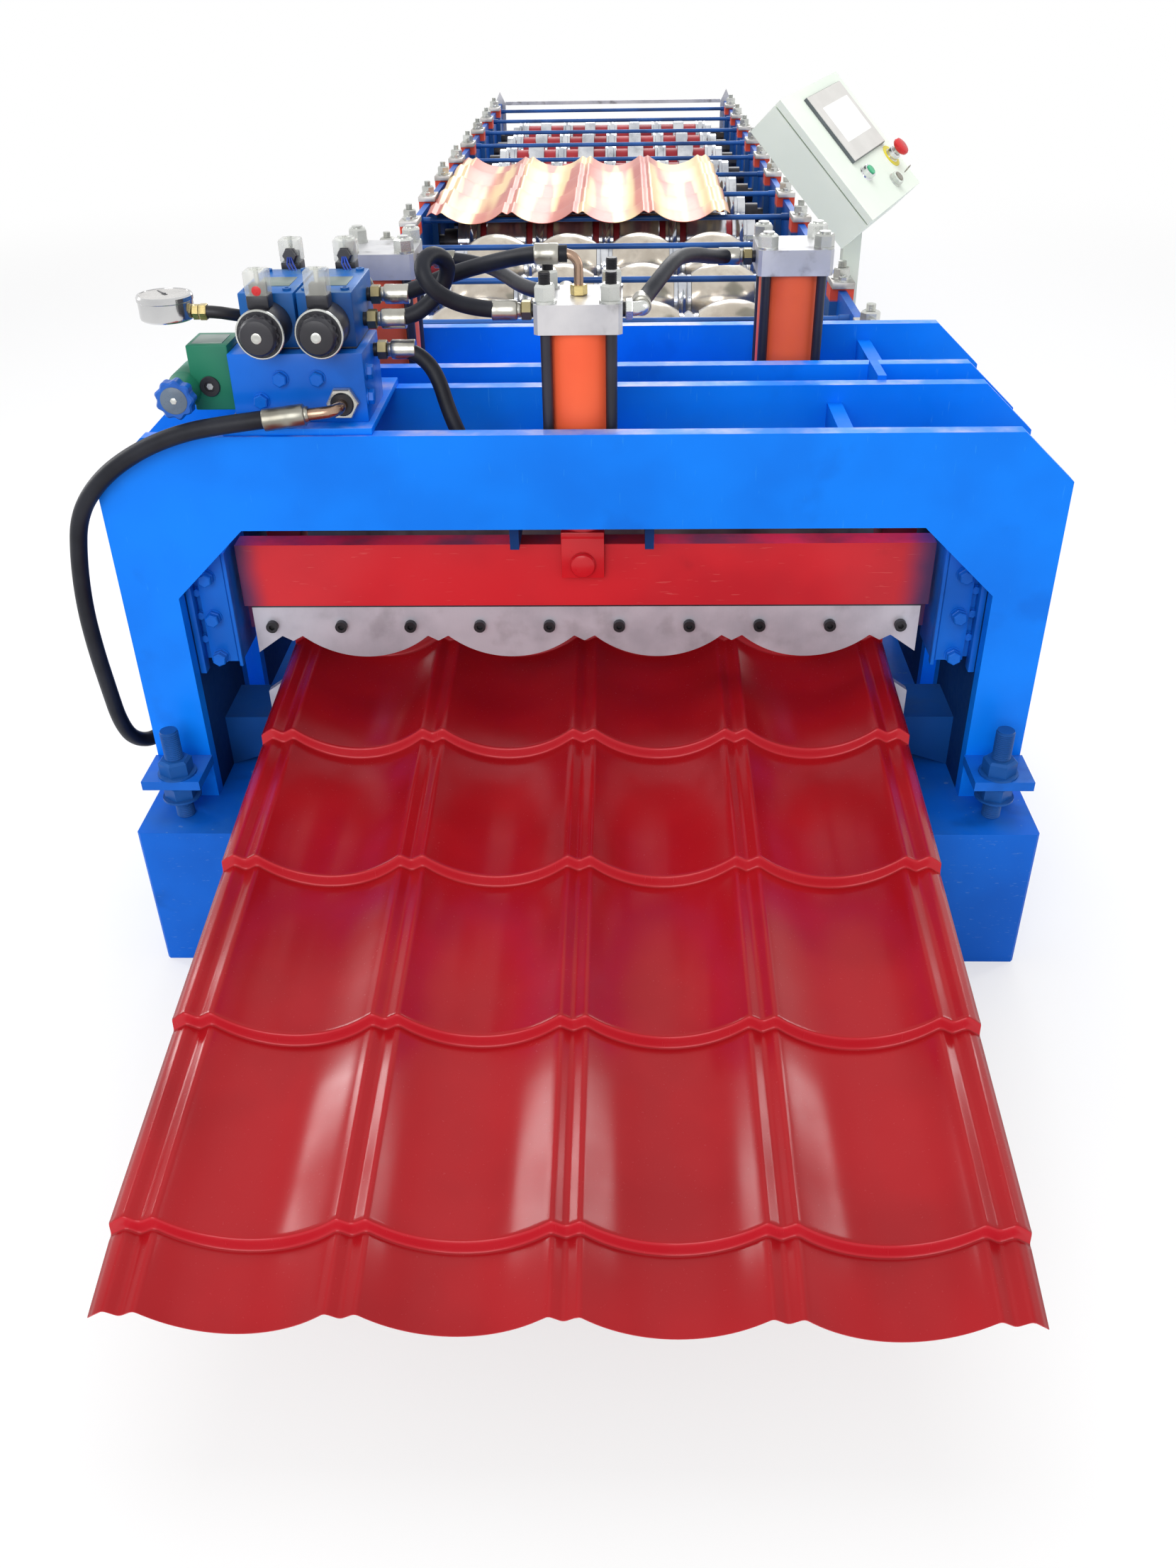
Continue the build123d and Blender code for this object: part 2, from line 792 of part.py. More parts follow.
end_plate_half = 26.0
end_plate_top = 652.0
end_plate_thickness = 10.0
end_bar_low = 594.0
end_bar_high = 609.0
with BuildPart() as end_plates:
    with BuildSketch(section_at(bed_end + end_plate_thickness)):
        for side in (-1, 1):
            Polygon(
                (side * (block_x - end_plate_half), base_height),
                (side * (block_x + end_plate_half), base_height),
                (side * (block_x + end_plate_half), wall_top),
                (side * block_x, end_plate_top),
                (side * (block_x - end_plate_half), wall_top),
                align=None,
            )
    extrude(amount=end_plate_thickness)
    inner = block_x - end_plate_half
    block((-inner, bed_end, end_bar_low), (inner, bed_end + end_plate_thickness, end_bar_high))
save(end_plates, "end_plates")

# The sample sheet on the tie bars, leaning so that it rests on the outer two
sample_shift = -80.0
sample_front = 2490.0
sample_back = 3580.0
sample_pitch = 241.0
sample_first = 2610.0
sample_low_bar = bar_first + 4 * station_pitch
sample_high_bar = bar_first + 6 * station_pitch
sample_base = bar_height + bar_radius + trough_depth + sheet_thickness + running_gap


def sample_rise(y):
    """How far a pan has climbed where it crosses y, over its foot."""
    return step_rise * ((sample_first - y) % sample_pitch) / sample_pitch


sample_lean = (sample_rise(sample_high_bar) - sample_rise(sample_low_bar)) / (
    sample_high_bar - sample_low_bar
)


def sample_foot(y):
    """Height of the foot line of the pans at y."""
    return sample_base - sample_rise(sample_low_bar) - sample_lean * (y - sample_low_bar)


sample_risers = []
for n in range(3, -1, -1):
    y = sample_first + n * sample_pitch
    sample_risers.append((y, sample_foot(y) + step_rise, sample_foot(y)))
sample_tail, sample_nose = (
    (y, sample_foot(y) + sample_rise(y)) for y in (sample_back, sample_front)
)
with BuildPart() as sample_sheet:
    for y, top, bottom, way in tile_runs(sample_risers, sample_tail, sample_nose):
        with BuildSketch(section_at(y)):
            Polygon(*wave_band(sheet_half, top, bottom, sample_shift), align=None)
        extrude(amount=math.hypot(*way), dir=way)
save(sample_sheet, "sample_sheet")

# The control box on its arm over the right side wall
panel_centre = (561.0, 1594.0, 895.0)
panel_right = (0.44, 0.90, 0.07)
panel_normal = (0.62, -0.36, 0.70)
panel_width = 357.0
panel_height = 312.0
box_depth = 90.0
door_thickness = 14.0
door_gap = 3.0
seam_inset = 8.0
panel = Plane(panel_centre, x_dir=panel_right, z_dir=panel_normal)
with BuildPart() as control_box:
    with BuildSketch(panel.offset(-box_depth)):
        Rectangle(panel_width, panel_height)
    extrude(amount=box_depth - door_thickness - door_gap)
    with BuildSketch(panel.offset(-door_thickness - door_gap)):
        Rectangle(panel_width - 2 * seam_inset, panel_height - 2 * seam_inset)
    extrude(amount=door_gap)
save(control_box, "control_box")

screen_centre = (30.0, 48.0)
screen_size = (216.0, 168.0)
screen_depth = 9.0
with BuildPart() as touch_screen:
    with BuildSketch(panel):
        with Locations(screen_centre):
            Rectangle(*screen_size)
    extrude(amount=screen_depth)
save(touch_screen, "touch_screen")

stop_place = (134.0, -69.0)
start_place = (-52.0, -70.0)
key_place = (59.0, -118.0)
collar_height = 14.0
button_collar_radius = 15.0
button_radius = 11.0
button_depth = 10.0
button_travel = 3.5
stop_head_radius = 20.0
stop_stem_radius = 10.0
stop_head_base = 24.5
stop_head = 12.0
with BuildPart() as control_panel:
    with BuildSketch(panel.offset(-door_thickness)):
        Rectangle(panel_width, panel_height)
    extrude(amount=door_thickness)
    with BuildSketch(panel):
        with Locations(stop_place, start_place, key_place):
            RegularPolygon(button_collar_radius, shaft_sides)
    extrude(amount=collar_height)
    with BuildSketch(panel.offset(collar_height - button_depth)):
        with Locations(start_place):
            RegularPolygon(button_radius + running_gap, shaft_sides, major_radius=False)
        with Locations(stop_place):
            RegularPolygon(stop_stem_radius + running_gap, shaft_sides, major_radius=False)
    extrude(amount=button_depth, mode=Mode.SUBTRACT)
save(control_panel, "control_panel")

with BuildPart() as start_button:
    with BuildSketch(panel.offset(collar_height - button_depth + button_travel)):
        with Locations(start_place):
            RegularPolygon(button_radius, shaft_sides)
    extrude(amount=button_depth)
save(start_button, "start_button")

stop_foot = 10.0
with BuildPart() as emergency_stop:
    for radius, low, high in (
        (stop_stem_radius, stop_foot, stop_head_base),
        (stop_head_radius, stop_head_base, stop_head_base + stop_head),
    ):
        with BuildSketch(panel.offset(low)):
            with Locations(stop_place):
                RegularPolygon(radius, shaft_sides)
        extrude(amount=high - low)
save(emergency_stop, "emergency_stop")

key_thickness = 3.0
key_width = 22.0
key_length = 26.0
with BuildPart() as switch_key:
    with BuildSketch(panel.offset(collar_height + running_gap)):
        with Locations(key_place):
            Rectangle(key_width, key_thickness)
    extrude(amount=key_length)
save(switch_key, "switch_key")

arm_y = 1640.0
arm_side = 40.0
arm_base = 470.0
arm_top = 800.0
with BuildPart() as control_arm:
    block(
        (wall_half + wall_thickness, arm_y - arm_side / 2, arm_base),
        (wall_half + wall_thickness + arm_side, arm_y + arm_side / 2, arm_top),
    )
    with BuildSketch(panel.offset(-box_depth)):
        Rectangle(panel_width, panel_height)
    extrude(amount=box_depth, mode=Mode.SUBTRACT)
save(control_arm, "control_arm")


# Hoses: straight runs joined by tangent arcs, laid through points chosen by hand
def hose(name, route):
    """Sweeps a plain tube along the route and prints its length and radii."""
    points = [Vector(*p) for p in route]
    radii = []
    for a, b, c in zip(points, points[1:], points[2:]):
        turn = math.radians((b - a).get_angle(c - b))
        radii.append(0.45 * min((b - a).length, (c - b).length) / math.tan(turn / 2))
    with BuildPart() as tube:
        with BuildLine() as path:
            FilletPolyline(*points, radius=radii)
        with BuildSketch(Plane(points[0], z_dir=(points[1] - points[0]).normalized())):
            RegularPolygon(hose_radius, hose_sides)
        sweep(transition=Transition.RIGHT)
    length = path.wires()[0].length
    area = hose_sides / 2 * math.sin(2 * math.pi / hose_sides) * hose_radius**2
    print(name, "length", round(length), "radii", [round(r) for r in radii])
    print("  volume share", round(tube.part.volume / (area * length), 4))
    save(tube, name)


hose_radius = 12.0
upper_port_z = shear_head_base + head_thickness / 2
press_port_z = press_head_base + head_thickness / 2
lower_port_z = seat_top + head_thickness / 2
port_x = head_side / 2
fitting_length = 22.0
hose(
    "main_hose",
    [
        (-380.5, -14, 796),
        (-430, -17.8, 790.9),
        (-490, -18, 781),
        (-550, -18, 758),
        (-605, -16, 722),
        (-646, -10, 672),
        (-664, -2, 606),
        (-674, 4, 536),
        (-678, 14, 466),
        (-680, 28, 398),
        (-682, 42, 334),
        (-678, 64, 290),
        (-656, 90, 274),
        (-628, 108, 300),
        (-610, 113, 350),
        (-606, 113, 410),
    ],
)
hose(
    "shear_down_hose",
    [
        (-76, shear_axis_y, upper_port_z),
        (-104, shear_axis_y, upper_port_z),
        (-146, 66, 910),
        (-178, 50, 932),
        (-190, 56, 958),
        (-176, 84, 968),
        (-160, 108, 950),
        (-172, 118, 918),
        (-200, 113, 892),
        (-226, 110, 884),
        (-251.5, 110, 884),
    ],
)
hose(
    "shear_up_hose",
    [
        (-13.5, shear_axis_y, 966),
        (-34, shear_axis_y, 966),
        (-62, 102, 960),
        (-108, 144, 944),
        (-164, 166, 926),
        (-206, 160, 911),
        (-230, 150, 905),
        (-251.5, 150, 905),
    ],
)
hose(
    "right_press_hose",
    [
        (78, shear_axis_y + 13.5, upper_port_z),
        (78, 116, upper_port_z),
        (96, 156, 914),
        (116, 212, 925),
        (131, 270, 924),
        (158, 340, 912),
        (182, 402, 896),
        (202, press_axis_y, press_port_z),
        (224, press_axis_y, press_port_z),
    ],
)
hose(
    "left_press_hose",
    [
        (-224, press_axis_y, press_port_z),
        (-202, press_axis_y, press_port_z),
        (-170, 420, 890),
        (-138, 396, 887),
        (-112, 352, 884),
        (-92, 300, 884),
        (-66, 240, 888),
        (-36, 190, 896),
        (-20, 172, 900),
        (-20, 152, 900),
    ],
)
hose(
    "shear_return_hose",
    [
        (-242.5, 110, 846),
        (-222, 110, 846),
        (-200, 108, 834),
        (-184, 102, 812),
        (-172, 90, 772),
        (-156, 80, 735),
        (-128, 74, 712),
        (-100, shear_axis_y, lower_port_z),
        (-76, shear_axis_y, lower_port_z),
    ],
)

fitting_radius = 13.0
elbow_x = -294.0
elbow_z = 804.0
valve_right = valve_xs[1] + valve_width / 2
fittings = [
    ((elbow_x, manifold_front, elbow_z), (0, -1, 0), 40.0),
    ((elbow_x - 8, -8, elbow_z), (-78, -6, -8), 78.6),
    ((-606, 113, 410.3), (4, 0, 60), 44.0),
    ((-leg_inner - web_thickness, 113, 452), (-1, 0, 0), 62.0),
    ((-port_x, shear_axis_y, upper_port_z), (-1, 0, 0), fitting_length),
    ((valve_right, 110, 884), (1, 0, 0), fitting_length),
    ((0, shear_axis_y, shear_head_base + head_thickness), (0, 0, 1), 60.0),
    ((valve_right, 150, 905), (1, 0, 0), fitting_length),
    ((port_x, shear_axis_y, upper_port_z), (1, 0, 0), 38.0),
    ((press_axis_x - port_x, press_axis_y, press_port_z), (-1, 0, 0), fitting_length),
    ((port_x - press_axis_x, press_axis_y, press_port_z), (1, 0, 0), fitting_length),
    ((-20, shear_axis_y + port_x, 900), (0, 1, 0), fitting_length),
    ((manifold_right, 110, 846), (1, 0, 0), fitting_length),
    ((-port_x, shear_axis_y, lower_port_z), (-1, 0, 0), fitting_length),
]
with BuildPart() as hose_fittings:
    for start, way, length in fittings:
        with BuildSketch(Plane(start, z_dir=way)):
            RegularPolygon(fitting_radius, 6)
        extrude(amount=length)
save(hose_fittings, "hose_fittings")
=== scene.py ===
import math

import bmesh
import bpy
from mathutils import Matrix, Vector


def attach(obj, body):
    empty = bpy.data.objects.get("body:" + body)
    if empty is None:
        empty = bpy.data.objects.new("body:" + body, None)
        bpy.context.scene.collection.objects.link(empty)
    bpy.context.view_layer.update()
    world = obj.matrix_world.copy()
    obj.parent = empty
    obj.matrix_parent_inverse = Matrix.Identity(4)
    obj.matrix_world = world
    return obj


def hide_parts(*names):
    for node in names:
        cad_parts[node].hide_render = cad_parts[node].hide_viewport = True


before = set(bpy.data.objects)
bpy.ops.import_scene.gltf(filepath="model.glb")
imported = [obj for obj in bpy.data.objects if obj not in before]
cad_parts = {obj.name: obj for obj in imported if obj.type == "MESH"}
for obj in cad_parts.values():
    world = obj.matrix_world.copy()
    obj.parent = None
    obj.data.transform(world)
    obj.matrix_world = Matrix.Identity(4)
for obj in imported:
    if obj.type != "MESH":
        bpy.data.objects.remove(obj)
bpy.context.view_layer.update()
mm = 0.001
print("frame loaded:", len(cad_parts), "nodes")

# Camera, solved from the portal plates and the base in the photograph
cameraView = {
    "place": (0.0548, -1.572, 1.2848),
    "pitchDown": 0.581,
    "yaw": -0.0327,
    "roll": 0.0171,
    "focalPixels": 1821.3,
    "imageHeight": 2212,
}


def aimCamera(view):
    cosPitch, sinPitch = math.cos(view["pitchDown"]), math.sin(view["pitchDown"])
    cosYaw, sinYaw = math.cos(view["yaw"]), math.sin(view["yaw"])
    forward = Vector((sinYaw * cosPitch, cosYaw * cosPitch, -sinPitch))
    level = Vector((cosYaw, -sinYaw, 0))
    down = forward.cross(level)
    right = level * math.cos(view["roll"]) + down * math.sin(view["roll"])
    down = down * math.cos(view["roll"]) - level * math.sin(view["roll"])
    turned = Matrix((right, -down, -forward)).transposed().to_4x4()
    lens = bpy.data.cameras.new("photoCamera")
    lens.sensor_width = 36
    lens.lens = view["focalPixels"] / view["imageHeight"] * lens.sensor_width
    lens.clip_end = 60
    camera = bpy.data.objects.new("photoCamera", lens)
    camera.matrix_world = Matrix.Translation(view["place"]) @ turned
    bpy.context.collection.objects.link(camera)
    bpy.context.scene.camera = camera


aimCamera(cameraView)


# Shader nodes written as sums
class Wire:
    def __init__(self, finish, socket):
        self.finish, self.socket = finish, socket

    def join(self, operation, other):
        return self.finish.node("ShaderNodeMath", {"operation": operation}, {0: self, 1: other})


for sign, operation in {"add": "ADD", "radd": "ADD", "mul": "MULTIPLY", "sub": "SUBTRACT"}.items():
    setattr(Wire, f"__{sign}__", lambda wire, other, kind=operation: wire.join(kind, other))


class Nodes:
    def node(self, kind, settings=None, inputs=None, out=0):
        made = self.tree.nodes.new(kind)
        for key, value in (settings or {}).items():
            setattr(made, key, value)
        for key, value in (inputs or {}).items():
            self.feed(made.inputs[key], value)
        return Wire(self, made.outputs[out])

    def feed(self, socket, value):
        if isinstance(value, Wire):
            self.tree.links.new(value.socket, socket)
        else:
            socket.default_value = value


class Finish(Nodes):
    def __init__(self, name):
        self.material = bpy.data.materials.new(name)
        self.material.use_nodes = True
        self.tree = self.material.node_tree
        self.shader = self.tree.nodes["Principled BSDF"]
        self.coords = self.node("ShaderNodeTexCoord", out="Object")

    def set(self, **values):
        for key, value in values.items():
            self.feed(self.shader.inputs[key.replace("_", " ")], value)

    def noise(self, scale, detail, stretch=(1, 1, 1), shift=(0, 0, 0)):
        place = self.node("ShaderNodeMapping", None, {0: self.coords, "Scale": stretch,
            "Location": shift})
        return self.node("ShaderNodeTexNoise", None, {"Vector": place, "Scale": scale,
            "Detail": detail})

    def between(self, wire, low, high):
        return self.node("ShaderNodeMapRange", {"interpolation_type": "SMOOTHSTEP"},
            {0: wire, 1: low, 2: high})

    def blend(self, first, second, factor):
        return self.node("ShaderNodeMix", {"data_type": "RGBA"}, {0: factor, 6: first, 7: second},
            out=2)

    def bump(self, height, strength, distance=0.0005):
        return self.node("ShaderNodeBump", None, {"Height": height, "Strength": strength,
            "Distance": distance})

    def along(self, wire, axis):
        return self.node("ShaderNodeSeparateXYZ", None, {0: wire}, out=axis)

    def facing(self, axis):
        return self.along(self.node("ShaderNodeNewGeometry", out="Normal"), axis)


def fromScreen(*values):
    return (*(((v / 255 + 0.055) / 1.055) ** 2.4 if v > 10 else v / 3294.6 for v in values), 1.0)


def dress(finish, look, masks, patchScale, detail):
    broad = finish.noise(look.get("patchScale", patchScale), detail)
    colour = finish.blend(fromScreen(*look["colour"]), fromScreen(*look["shade"]),
        finish.between(broad, *look.get("patches", (0.35, 0.7))))
    for layer, mask in masks.items():
        if layer in look:
            *shade, amount = look[layer]
            colour = finish.blend(colour, fromScreen(*shade), mask(broad) * amount)
    finish.set(Base_Color=colour)
    return broad


def paintedSteel(name, look):
    finish = Finish(name)
    spread = look.get("stainStretch", (1, 1, 1))
    scratches = finish.between(
        finish.noise(26, 2, look.get("scratchStretch", (14, 14, 1.2)), (5, 2, 9)), 0.69, 0.73)
    dress(finish, look, {
        # Up-facing layer: real dust on some finishes; on others it is painted light, with top
        # faces made paler or darker for how light falls from above
        "dust": lambda broad: finish.between(finish.facing(2), 0.3, 1.0) * finish.between(
            finish.noise(14, 8), 0.42, 0.75),
        "stain": lambda broad: finish.between(finish.noise(9, 9, spread, (3, 1, 7)), 0.58, 0.72),
        "scratch": lambda broad: scratches,
        # Glare layer: painted reflection, pale cream streaks standing in for glare
        "streak": lambda broad: finish.between(
            finish.noise(look["streakScale"], 1.5, (1, 0.05, 0.1), (4, 2, 0)), 0.46, 0.56),
        # Front layer: painted light, a paler colour on faces turned towards -Y where the front
        # lamps fall
        "front": lambda broad: finish.between(finish.facing(1) * -1, 0.45, 0.8),
        "upper": lambda broad: finish.between(finish.along(finish.coords, 2), *look["upperFrom"]),
        # End layer: dark blue towards both ends, partly blue overspray and partly painted shade
        "overspray": lambda broad: finish.between(
            finish.along(finish.coords, 0).join("ABSOLUTE", 0) + (broad - 0.5) * 0.06,
            look["oversprayFrom"], look["oversprayTo"]),
    }, 5, 3)
    fine = finish.noise(look.get("grainScale", 90), 5)
    rough = look["rough"] + (fine - 0.5) * look.get("roughSpread", 0.2) + scratches * 0.15
    finish.set(Roughness=rough, Metallic=look.get("metallic", 0.0),
        Specular_IOR_Level=look.get("specular", 0.2),
        Normal=finish.bump(finish.noise(look.get("peelScale", 420), 2), look.get("peel", 0.06)))
    if "coat" in look:
        finish.set(Coat_Weight=look["coat"], Coat_Roughness=0.12)
    return finish.material


def bareMetal(name, look):
    finish = Finish(name)
    lay = finish.noise(60, 3, look.get("lay", (1, 30, 30)))
    broad = dress(finish, look, {
        "stain": lambda broad: finish.between(
            finish.noise(look.get("stainScale", 16), 9, (1, 1, 1), (2, 8, 3)), 0.52, 0.7),
    }, 11, 5)
    finish.set(Roughness=look["rough"] + (lay - 0.5) * 0.25 + (broad - 0.5) * 0.15,
        Metallic=look.get("metallic", 0.95),
        Normal=finish.bump(lay, look.get("grain", 0.12), 0.0003))
    return finish.material


def moulded(name, look):
    finish = Finish(name)
    dress(finish, {**look, "patches": (0.3, 0.7)}, {}, 20, 3)
    finish.set(Roughness=look["rough"] + (finish.noise(300, 3) - 0.5) * 0.2,
        Normal=finish.bump(finish.noise(look.get("grainScale", 900), 2), look.get("grain", 0.05)),
        Specular_IOR_Level=look.get("specular", 0.4))
    if "alpha" in look:
        finish.set(Alpha=look["alpha"])
        finish.material.surface_render_method = "BLENDED"
    return finish.material


# Each look: colour, shade, roughness and what differs from the usual. Colours are as a screen
# shows them, from 0 to 255, and a layer's fourth value is its amount
painted = {
    # portalBlue's up-facing layer is a painted highlight: pale lilac on top faces and edges where
    # overhead light falls
    "portalBlue": ((4, 128, 248), (2, 116, 232), 0.4, {"specular": 0.14,
        "dust": (178, 180, 226, 0.95), "stain": (2, 92, 200, 0.3),
        "scratch": (60, 160, 240, 0.3)}),
    "baseBlue": ((8, 100, 208), (6, 88, 190), 0.5, {"specular": 0.14, "dust": (50, 110, 180, 0.4),
        "stain": (8, 52, 110, 0.35), "scratch": (110, 150, 195, 0.35),
        "scratchStretch": (3, 3, 20)}),
    "wallBlue": ((14, 96, 196), (10, 74, 160), 0.42, {"dust": (80, 120, 165, 0.3),
        "stain": (25, 45, 75, 0.4)}),
    # boltBlue and studBlue: their up-facing layer is a faint painted highlight on top faces
    "boltBlue": ((18, 104, 208), (12, 84, 176), 0.36, {"specular": 0.14,
        "dust": (90, 140, 196, 0.3), "stain": (10, 60, 130, 0.4)}),
    "studBlue": ((26, 88, 164), (18, 66, 130), 0.36, {"specular": 0.14,
        "dust": (84, 130, 180, 0.3), "stain": (12, 40, 84, 0.4)}),
    "tableBlue": ((18, 74, 146), (14, 54, 110), 0.4, {"specular": 0.14, "dust": (46, 70, 104, 0.6),
        "stain": (12, 30, 60, 0.4)}),
    # webBlue: dark navy below the upper band is painted shade for the webs seen in the gap over
    # the beam and their inner faces; the upper band is portal blue
    "webBlue": ((18, 56, 112), (14, 38, 80), 0.5, {"specular": 0.1, "upper": (2, 112, 226, 1),
        "upperFrom": (0.658, 0.662)}),
    "barBlue": ((36, 92, 168), (24, 62, 118), 0.34, {"coat": 0.2, "stain": (40, 44, 54, 0.5),
        "stainStretch": (0.5, 4, 4)}),
    # sheetRed: its front layer is painted light, paler red on faces turned to the front
    "sheetRed": ((156, 16, 24), (142, 12, 20), 0.2, {"specular": 0.24, "front": (184, 30, 42, 1),
        "dust": (170, 30, 36, 0.15), "peel": 0.03, "grainScale": 40, "roughSpread": 0.1}),
    # sampleRed: the copper-rose tone and cream streaks are painted reflection of warm glare on the
    # coated sheet
    "sampleRed": ((206, 118, 100), (184, 92, 82), 0.3, {"specular": 0.2, "peel": 0.03,
        "patchScale": 3, "roughSpread": 0.08, "metallic": 0.25, "streak": (236, 206, 150, 0.95),
        "streakScale": 14}),
    # beamRed's up-facing layer is painted shade: the beam's top faces darkened as if in shadow
    "beamRed": ((208, 34, 44), (188, 28, 40), 0.36, {"coat": 0.2, "dust": (70, 40, 48, 0.8),
        "stain": (90, 20, 26, 0.4), "scratch": (222, 120, 115, 0.25),
        # Its end layer darkens both ends to blue-black: partly overspray, partly painted shade
        # where the ends enter the guides
        "scratchStretch": (1.2, 14, 14), "overspray": (20, 36, 84, 0.9), "oversprayFrom": 0.432,
        "oversprayTo": 0.474}),
    "clevisRed": ((212, 30, 40), (186, 22, 34), 0.32, {"coat": 0.3, "stain": (110, 20, 26, 0.4)}),
    "barrelOrange": ((244, 104, 64), (236, 92, 58), 0.42, {"stain": (190, 70, 48, 0.25)}),
    "blockRed": ((40, 92, 156), (30, 70, 124), 0.45, {"stain": (60, 64, 72, 0.6),
        "upper": (232, 84, 62, 1), "upperFrom": (0.574, 0.58)}),
    "spacerRed": ((176, 52, 60), (140, 36, 46), 0.42, {"stain": (70, 26, 30, 0.5)}),
    "valveGreen": ((36, 120, 92), (30, 98, 82), 0.4, {"dust": (110, 160, 150, 0.5)}),
    "manifoldBlue": ((4, 108, 220), (4, 92, 192), 0.34, {"coat": 0.1, "dust": (60, 130, 190, 0.5),
        "stain": (6, 70, 150, 0.4)}),
    "valveBlue": ((28, 98, 172), (20, 78, 146), 0.34, {"dust": (90, 116, 132, 0.9),
        "stain": (16, 44, 96, 0.4)}),
    "boxPaint": ((228, 236, 224), (220, 229, 218), 0.45, {"peel": 0.15, "peelScale": 900}),
}
bare = {
    "toolSteel": ((196, 194, 204), (170, 168, 178), 0.5, {"lay": (30, 30, 1),
        "stain": (110, 104, 110, 0.35), "metallic": 0.55}),
    "dieSteel": ((120, 124, 130), (96, 99, 106), 0.42, {"lay": (30, 30, 1),
        "stain": (60, 55, 52, 0.5)}),
    "bareSteel": ((204, 204, 206), (176, 177, 182), 0.42, {"stain": (104, 100, 100, 0.7),
        "stainScale": 22, "metallic": 0.6}),
    "standSteel": ((206, 204, 200), (176, 172, 168), 0.45, {"stain": (128, 118, 108, 0.5),
        "metallic": 0.6}),
    "rodChrome": ((222, 222, 224), (196, 197, 200), 0.14, {"lay": (1, 1, 40), "grain": 0.02}),
    "rollChrome": ((218, 220, 224), (182, 186, 194), 0.14, {"metallic": 0.9, "lay": (90, 1, 1),
        "grain": 0.03, "stain": (84, 84, 88, 0.35)}),
    "rollBronze": ((216, 208, 194), (184, 174, 160), 0.2, {"lay": (70, 1, 1), "grain": 0.05,
        "metallic": 0.85, "stain": (130, 112, 96, 0.3)}),
    "rollBlack": ((52, 52, 58), (34, 34, 38), 0.34, {"lay": (60, 1, 1), "stain": (96, 78, 56, 0.3),
        "metallic": 0.7}),
    "rodBlack": ((46, 46, 58), (34, 34, 42), 0.4, {"lay": (30, 30, 1), "metallic": 0.3}),
    "zincSteel": ((214, 216, 212), (178, 180, 176), 0.3, {"stain": (136, 128, 110, 0.3),
        "metallic": 0.85}),
    "ferruleSteel": ((186, 184, 176), (146, 144, 134), 0.3, {"lay": (40, 40, 40),
        "stain": (110, 104, 88, 0.35)}),
    "oliveNut": ((150, 140, 106), (112, 102, 74), 0.34, {"stain": (70, 62, 44, 0.5)}),
    "brassOld": ((206, 188, 132), (170, 148, 92), 0.3, {"stain": (110, 90, 54, 0.4)}),
    "copperTube": ((176, 148, 128), (120, 96, 80), 0.24, {"stain": (84, 60, 44, 0.6)}),
    "gaugeSteel": ((206, 206, 206), (180, 180, 182), 0.16, {"lay": (1, 1, 60), "grain": 0.02}),
    "keySteel": ((150, 146, 134), (110, 106, 96), 0.3, {}),
    "blackOxide": ((50, 50, 54), (32, 32, 36), 0.42, {"metallic": 0.6}),
    "barePlate": ((132, 146, 140), (104, 118, 114), 0.4, {"stain": (70, 84, 80, 0.5),
        "metallic": 0.5}),
}
mouldings = {
    "gaugeDial": ((176, 174, 172), (150, 148, 146), 0.25, {}),
    "knobDial": ((96, 112, 130), (60, 72, 88), 0.3, {}),
    "hoseRubber": ((20, 22, 30), (32, 34, 42), 0.44, {"grain": 0.3, "specular": 0.22,
        "grainScale": 1400}),
    "coilBlack": ((34, 34, 40), (46, 46, 52), 0.36, {}),
    "clearPlug": ((222, 224, 216), (206, 208, 200), 0.18, {"alpha": 0.36}),
    "wireBlue": ((30, 70, 170), (24, 54, 140), 0.4, {}),
    "knobBlue": ((16, 92, 186), (12, 74, 158), 0.38, {}),
    "screenCase": ((208, 206, 202), (200, 198, 194), 0.4, {}),
    "screenSide": ((96, 102, 106), (82, 88, 92), 0.45, {}),
    "screenGlass": ((246, 247, 246), (240, 242, 241), 0.12, {}),
    "buttonRed": ((206, 40, 44), (188, 30, 36), 0.3, {}),
    "buttonGreen": ((70, 176, 130), (54, 160, 112), 0.3, {}),
    "ringYellow": ((222, 210, 60), (206, 192, 46), 0.4, {}),
}
finishes = {}
for recipe, looks in ((paintedSteel, painted), (bareMetal, bare), (moulded, mouldings)):
    for name, (colour, shade, rough, look) in looks.items():
        finishes[name] = recipe(name, {"colour": colour, "shade": shade, "rough": rough, **look})
print("finishes made:", len(finishes))


